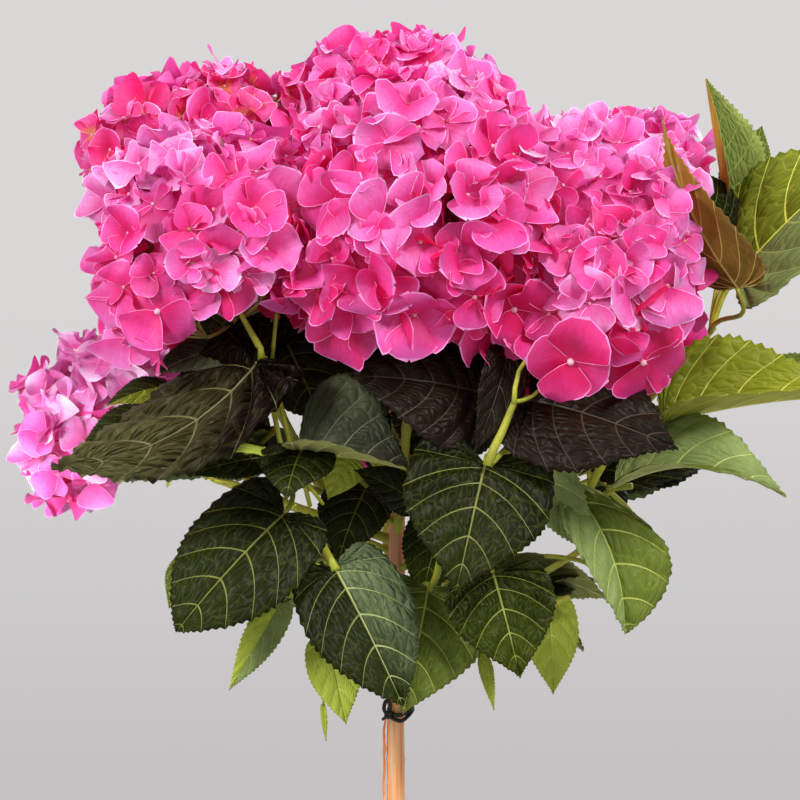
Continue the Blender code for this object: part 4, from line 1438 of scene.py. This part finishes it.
# %% Stem with bark relief
STEM_STEP = 0.0022
STEM_BURIED = 0.004
RING_SPACING = 0.083
RING_HEIGHT, RING_LENGTH = 0.07, 0.035
RIDGE_DEPTH = 0.00034
TAN_BELOW, BROWN_ABOVE = 0.5, 0.56


def stem_runs():
    """The stem's path and radii, with a ring at every old pair of leaves."""
    heights = np.arange(SOIL_TOP - STEM_BURIED, STEM_TOP, STEM_STEP)
    path = np.array([stem_centre(height) for height in heights])
    radii = []
    for height in heights:
        ring = math.exp(-((((height / RING_SPACING) % 1.0) - 0.5) / RING_LENGTH) ** 2)
        radii.append(stem_radius(max(height, SOIL_TOP)) * (1.0 + RING_HEIGHT * ring))
    return [(path, radii)]


def bark_relief(mesh):
    """Pushes each corner in or out by noise stretched along the stem."""
    for vertex in mesh.vertices:
        outward = vertex.co - Vector(stem_centre(vertex.co.z))
        outward.z = 0.0
        if outward.length < 0.001:
            continue
        outward.normalize()
        ridge = noise.noise(Vector((outward.x * 3.2, outward.y * 3.2, vertex.co.z * 26.0)))
        crack = abs(noise.noise(Vector((outward.x * 7.0, outward.y * 7.0, vertex.co.z * 60.0 + 9.0))))
        vertex.co += outward * (ridge * RIDGE_DEPTH - crack * RIDGE_DEPTH * 0.8)


def bark_material():
    material, tree, shader = new_material("bark", 0.5, 0.3)
    coordinate = node(tree, "ShaderNodeTexCoord").outputs["Object"]
    streak = noise_value(tree, coordinate, 300.0, 4.0, (1.0, 1.0, 0.04))
    fine = noise_value(tree, coordinate, 900.0, 3.0, (1.0, 1.0, 0.25))
    tan_stops = [(0.36, (0.86, 0.25, 0.075)), (0.5, (1.0, 0.46, 0.19)), (0.66, (1.0, 0.66, 0.38))]
    # The brown higher up is the bark's own redder tone, painted lighter as light on it in the leaves' shade.
    brown_with_painted_light_stops = [(0.36, (1.0, 0.26, 0.11)), (0.64, (1.0, 0.6, 0.42))]
    height = ranged(tree, axes_of(tree, coordinate)["Z"], TAN_BELOW, BROWN_ABOVE)
    tone = mixed_colour(tree, height, ramp(tree, streak, tan_stops), ramp(tree, streak, brown_with_painted_light_stops))
    tree.links.new(tone, shader.inputs["Base Color"])
    bump(tree, shader, fine, 0.35, 0.0005)
    return material


bark = bark_material()
stem = tubes("stem_wood", stem_runs(), 14, [bark])
bark_relief(stem.data)
place(stem, "bark", "stem")

# %% [markdown]
# ## The peeling strip
# One strip of bark has come loose down the left side. It is a long grid bent round the stem a little
# way off its surface, with an edge that wanders.

# %% Peeling bark
STRIP_LOW, STRIP_HIGH = 0.33, 0.484
STRIP_CELLS = (90, 4)
STRIP_HALF_ANGLE = 0.42
STRIP_LIFT = 0.002


def peeling_strip():
    sheet = bmesh.new()
    bmesh.ops.create_grid(sheet, x_segments=STRIP_CELLS[0], y_segments=STRIP_CELLS[1], size=1.0)
    for vertex in sheet.verts:
        share, side = (vertex.co.x + 1.0) / 2.0, vertex.co.y
        height = STRIP_LOW + (STRIP_HIGH - STRIP_LOW) * share
        wander = noise.noise(Vector((share * 9.0, 3.0, 1.0)))
        ragged = noise.noise(Vector((share * 26.0, side * 2.0, 5.0)))
        ends = min(1.0, share / 0.05, (1.0 - share) / 0.05)
        angle = math.pi * 1.04 + side * STRIP_HALF_ANGLE * (0.75 + ragged * 0.9) * ends + wander * 0.25
        lift = STRIP_LIFT * (0.5 + 0.9 * abs(wander)) * ends + 0.0004 + 0.0006 * (1.0 - side * side)
        radius = stem_radius(height) + lift
        vertex.co = stem_centre(height) + [math.cos(angle) * radius, math.sin(angle) * radius, 0.0]
    bmesh.ops.recalc_face_normals(sheet, faces=sheet.faces)
    made = finished("peeling_bark", sheet, [bark])
    thicken = made.modifiers.new("thickness", "SOLIDIFY")
    thicken.thickness = 0.0005
    return made


place(peeling_strip(), "bark")

# %% [markdown]
# ## The tie
# A soft black plant tie hangs round the stem under the leaves. It droops at the front, and is knotted
# at the left, where one loop and a short tail stand off.

# %% Plant tie
TIE_RADIUS = 0.0013
TAIL_THINNING = 0.7
STEPS_BETWEEN = 5

# Places in the view, with depths, that each part of the tie runs through.
LOWER_ROUND = (
    (389, 715, -0.006), (394, 719, -0.0084), (401, 721, -0.009), (407, 717, -0.0086), (412, 711, -0.004),
    (412, 708, 0.003), (405, 706, 0.0076), (396, 707, 0.0078), (390, 710, 0.003),
)
UPPER_ROUND = (
    (390, 712, -0.006), (396, 715, -0.0085), (404, 714, -0.009), (411, 709, -0.005), (412, 706, 0.002),
    (404, 703, 0.0078), (395, 704, 0.0074), (389, 708, 0.001),
)
LOOP = ((388, 716, -0.007), (384, 709, -0.008), (386, 701, -0.0075), (390, 704, -0.007), (389, 713, -0.0075))
TAIL = ((390, 716, -0.008), (386, 717, -0.0092), (382, 720, -0.0095))
KNOT = ((388, 718, -0.007), (390, 714, -0.0095), (386, 714, -0.0085), (388, 718, -0.007))


def smooth_path(corners, rows, closed=False):
    """A smooth path through corner points, by a Catmull-Rom curve."""
    corners = np.array(corners)
    before, after = corners[-1:], corners[:2]
    if not closed:
        before, after = 2 * corners[:1] - corners[1:2], 2 * corners[-1:] - corners[-2:-1]
    chain = np.concatenate([before, corners, after])
    pieces = []
    for a, b, c, d in zip(chain, chain[1:], chain[2:], chain[3:]):
        t = np.linspace(0.0, 1.0, rows, endpoint=False)[:, None]
        curved = (2 * a - 5 * b + 4 * c - d) * t**2 / 2 + (3 * b - a - 3 * c + d) * t**3 / 2
        pieces.append(b + (c - a) * t / 2 + curved)
    pieces.append(chain[-2:-1])
    return np.concatenate(pieces)


def tie_run(places, closed=False, thin=1.0):
    path = smooth_path([seen_at(*spot) for spot in places], STEPS_BETWEEN, closed)
    return path, np.linspace(TIE_RADIUS, TIE_RADIUS * thin, len(path))


tie_material = plain_material("tie_black", (0.012, 0.012, 0.014), 0.45, 400.0)
tie_parts = [tie_run(places, closed=True) for places in (LOWER_ROUND, UPPER_ROUND)]
tie_parts += [tie_run(LOOP), tie_run(TAIL, thin=TAIL_THINNING), tie_run(KNOT)]
place(tubes("tie_loops", tie_parts, 4, [tie_material]), "tie", "tie")

# %% [markdown]
# ## The pot
# The pot is a plain thrown clay pot with a thicker collar under its rim. Its outline is turned with
# spin, like clay on a wheel. The outline is cut finer first and the turned shell is smoothed a little,
# which eases its edges as a thumb would.

# %% Clay pot
POT_HEIGHT = 0.175
POT_RIM_RADIUS = 0.1
POT_FOOT_RADIUS = 0.07
POT_FLOOR = 0.01
RIM_WALL, FOOT_WALL = 0.0095, 0.006
EDGE = 0.003  # how far the edges of the rim and the foot are cut back
FLOOR_CORNER = 0.006
COLLAR_FOOT = 0.139
COLLAR_STEP = 0.0065
POT_TURNS = 96
EASING = 0.35


def turned_pot():
    inner_rim, inner_foot = POT_RIM_RADIUS - RIM_WALL, POT_FOOT_RADIUS - FOOT_WALL
    outline = [
        (0.0, POT_FLOOR), (inner_foot - FLOOR_CORNER, POT_FLOOR), (inner_foot, POT_FLOOR + FLOOR_CORNER),
        (inner_rim, POT_HEIGHT - EDGE), (inner_rim + EDGE, POT_HEIGHT), (POT_RIM_RADIUS - EDGE, POT_HEIGHT),
        (POT_RIM_RADIUS, POT_HEIGHT - EDGE), (POT_RIM_RADIUS - 0.0012, COLLAR_FOOT + EDGE),
        (POT_RIM_RADIUS - 0.004, COLLAR_FOOT), (POT_RIM_RADIUS - COLLAR_STEP, COLLAR_FOOT - 0.002),
        (POT_FOOT_RADIUS + 0.0004, 0.004), (POT_FOOT_RADIUS - EDGE, 0.0), (0.0, 0.0),
    ]
    wheel = bmesh.new()
    corners = [wheel.verts.new((radius, 0.0, height)) for radius, height in outline]
    edges = [wheel.edges.new(pair) for pair in zip(corners, corners[1:])]
    bmesh.ops.subdivide_edges(wheel, edges=edges, cuts=5)
    bmesh.ops.spin(
        wheel, geom=wheel.verts[:] + wheel.edges[:], cent=(0, 0, 0), axis=(0, 0, 1),
        angle=2.0 * math.pi, steps=POT_TURNS, use_merge=True,
    )
    bmesh.ops.remove_doubles(wheel, verts=wheel.verts, dist=0.00001)
    bmesh.ops.smooth_vert(
        wheel, verts=wheel.verts, factor=EASING, use_axis_x=True, use_axis_y=True, use_axis_z=True
    )
    bmesh.ops.recalc_face_normals(wheel, faces=wheel.faces)
    return finished("clay_pot", wheel, [clay_material()])


def clay_material():
    material, tree, shader = new_material("clay", 0.85, 0.3)
    coordinate = node(tree, "ShaderNodeTexCoord").outputs["Object"]
    cloud = noise_value(tree, coordinate, 14.0, 6.0)
    rings = noise_value(tree, coordinate, 60.0, 3.0, (0.06, 0.06, 6.0))
    stops = [(0.32, (0.4, 0.15, 0.075)), (0.56, (0.56, 0.25, 0.14)), (0.74, (0.66, 0.4, 0.28))]
    tree.links.new(ramp(tree, cloud, stops), shader.inputs["Base Color"])
    bump(tree, shader, rings, 0.35, 0.0012)
    return material


place(turned_pot(), "clay", "pot")

# %% [markdown]
# ## The compost
# Compost is dark, lumpy and crumbly. Its solid stays visible and takes the same material, and over it
# lies a grid rounded into a disc, raised here and there by noise. A few hundred crumbs are scattered
# on it, some of them pale grit. They are the same beads as the eyes of the flowers, roughened.

# %% Compost
SOIL_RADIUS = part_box("soil")[1].x
SOIL_CELLS = 70
LUMP_HEIGHT, GRAIN_HEIGHT = 0.0022, 0.0012
SKIRT = 0.006
CRUMBS = 420
CRUMB_SIZES = (0.0009, 0.0032)
GRIT_SHARE = 0.07
CRUMB_SEED = 77


def compost_material():
    material, tree, shader = new_material("compost", 0.95, 0.2)
    coordinate = node(tree, "ShaderNodeTexCoord").outputs["Object"]
    grain = noise_value(tree, coordinate, 260.0, 6.0)
    stops = [(0.35, (0.012, 0.008, 0.005)), (0.55, (0.045, 0.028, 0.017)), (0.75, (0.12, 0.08, 0.05))]
    tree.links.new(ramp(tree, grain, stops), shader.inputs["Base Color"])
    bump(tree, shader, grain, 0.8, 0.002)
    return material


def compost_surface(material):
    """A square grid rounded into a disc, lumpy inside and tucked down at the pot's wall."""
    sheet = bmesh.new()
    bmesh.ops.create_grid(sheet, x_segments=SOIL_CELLS, y_segments=SOIL_CELLS, size=1.0)
    for vertex in sheet.verts:
        x, y = vertex.co.x, vertex.co.y
        round_x, round_y = x * math.sqrt(1.0 - y * y / 2.0), y * math.sqrt(1.0 - x * x / 2.0)
        out = math.hypot(round_x, round_y)
        spot = Vector((round_x * 9.0, round_y * 9.0, 0.0))
        lumps = LUMP_HEIGHT * abs(noise.noise(spot)) + GRAIN_HEIGHT * abs(noise.noise(spot * 3.1))
        height = SOIL_TOP + 0.0006 + lumps * min(1.0, (1.0 - out) * 8.0 + 0.15)
        vertex.co = Vector((round_x * SOIL_RADIUS, round_y * SOIL_RADIUS, height))
    rim = [edge for edge in sheet.edges if edge.is_boundary]
    skirt = bmesh.ops.extrude_edge_only(sheet, edges=rim)["geom"]
    lowered = [part for part in skirt if isinstance(part, bmesh.types.BMVert)]
    bmesh.ops.translate(sheet, verts=lowered, vec=(0.0, 0.0, -SKIRT))
    bmesh.ops.recalc_face_normals(sheet, faces=sheet.faces)
    return finished("compost_surface", sheet, [material])


def compost_crumbs(material, pale):
    rng = np.random.default_rng(CRUMB_SEED)
    out = SOIL_RADIUS * 0.96 * np.sqrt(rng.uniform(0.03, 1.0, CRUMBS))
    angle = rng.uniform(0.0, 2.0 * math.pi, CRUMBS)
    size = rng.uniform(*CRUMB_SIZES, CRUMBS)
    middle = np.c_[out * np.cos(angle), out * np.sin(angle), SOIL_TOP + 0.0014 + size * 0.3]
    stretch = rng.uniform(0.6, 1.3, (CRUMBS, 1, 3))
    rough = 1.0 + rng.uniform(-0.18, 0.18, (CRUMBS, len(BEAD_PLACES), 1))
    places = middle[:, None, :] + BEAD_PLACES[None] * stretch * rough * size[:, None, None]
    is_grit = (rng.uniform(size=CRUMBS) > 1.0 - GRIT_SHARE).astype(int)
    return joined("compost_crumbs", [bead_batch(places, is_grit)], [material, pale])


compost = compost_material()
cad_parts["soil"].data.materials.clear()
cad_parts["soil"].data.materials.append(compost)
place(compost_surface(compost), "compost")
place(compost_crumbs(compost, plain_material("grit", (0.55, 0.52, 0.46), 0.8, 200.0)), "compost")

# %% [markdown]
# ## Floor and light
# A pale floor runs back towards the grey of the room. Two large soft lights stand above and in front,
# one at each side, and a third lights the crown from behind. A small narrow one brightens the low head
# at the left, which the crown shades.

# %% Floor and lights
FLOOR_RADIUS = 3.6
FLOOR_GREY = (0.42, 0.415, 0.415, 1.0)
CROWN_MIDDLE = (0.0, 0.0, 0.74)
LOW_HEAD = (-0.24, -0.02, 0.64)


def floor_disc():
    disc = bmesh.new()
    bmesh.ops.create_circle(disc, cap_ends=True, segments=96, radius=FLOOR_RADIUS)
    material, _, shader = new_material("floor_paper", 0.9, 0.1)
    shader.inputs["Base Color"].default_value = FLOOR_GREY
    return finished("floor", disc, [material])


def soft_light(name, place_at, target, size, power, colour, spread=180.0):
    """A round light that looks at its target; the spread is the angle that it shines into."""
    data = bpy.data.lights.new(name, "AREA")
    data.shape = "DISK"
    data.size = size
    data.energy = power
    data.color = colour
    data.spread = math.radians(spread)
    made = bpy.data.objects.new(name, data)
    made.location = place_at
    made.rotation_euler = (Vector(target) - Vector(place_at)).to_track_quat("-Z", "Y").to_euler()
    bpy.context.scene.collection.objects.link(made)


floor_disc()
soft_light("right_key", (1.2, -1.7, 2.2), CROWN_MIDDLE, 0.9, 48.0, (1.0, 0.985, 0.97))
soft_light("left_key", (-1.7, -1.6, 1.6), CROWN_MIDDLE, 0.8, 42.0, (1.0, 0.99, 0.985))
soft_light("low_fill", (-1.2, -1.5, 0.62), LOW_HEAD, 0.12, 0.13, (1.0, 0.99, 0.985), spread=8.0)
soft_light("rim", (1.2, 1.6, 1.9), CROWN_MIDDLE, 1.0, 24.0, (1.0, 1.0, 1.0))
print("lights:", len(bpy.data.lights))

# %% [markdown]
# The room glows softly too. Its world shader blends plain greys by direction: brighter behind the
# plant and dimmer elsewhere, so that the shade under the crown stays deep.

# %% The room
ROOM_BEHIND = (0.69, 0.68, 0.675)
ROOM_LOW = (0.55, 0.535, 0.54)
ROOM_FRONT = (0.36, 0.36, 0.37)

world = bpy.data.worlds.new("room")
world.use_nodes = True
room = world.node_tree
direction = axes_of(room, node(room, "ShaderNodeTexCoord").outputs["Generated"])
behind = mixed_colour(room, ranged(room, direction["Z"], -0.1, 0.03), ROOM_LOW, ROOM_BEHIND)
everywhere = mixed_colour(room, ranged(room, direction["Y"], -0.2, 0.6), ROOM_FRONT, behind)
room.links.new(everywhere, room.nodes["Background"].inputs["Color"])
bpy.context.scene.world = world
bpy.context.scene.view_settings.view_transform = "Standard"
print("room greys:", ROOM_BEHIND, ROOM_LOW, ROOM_FRONT)
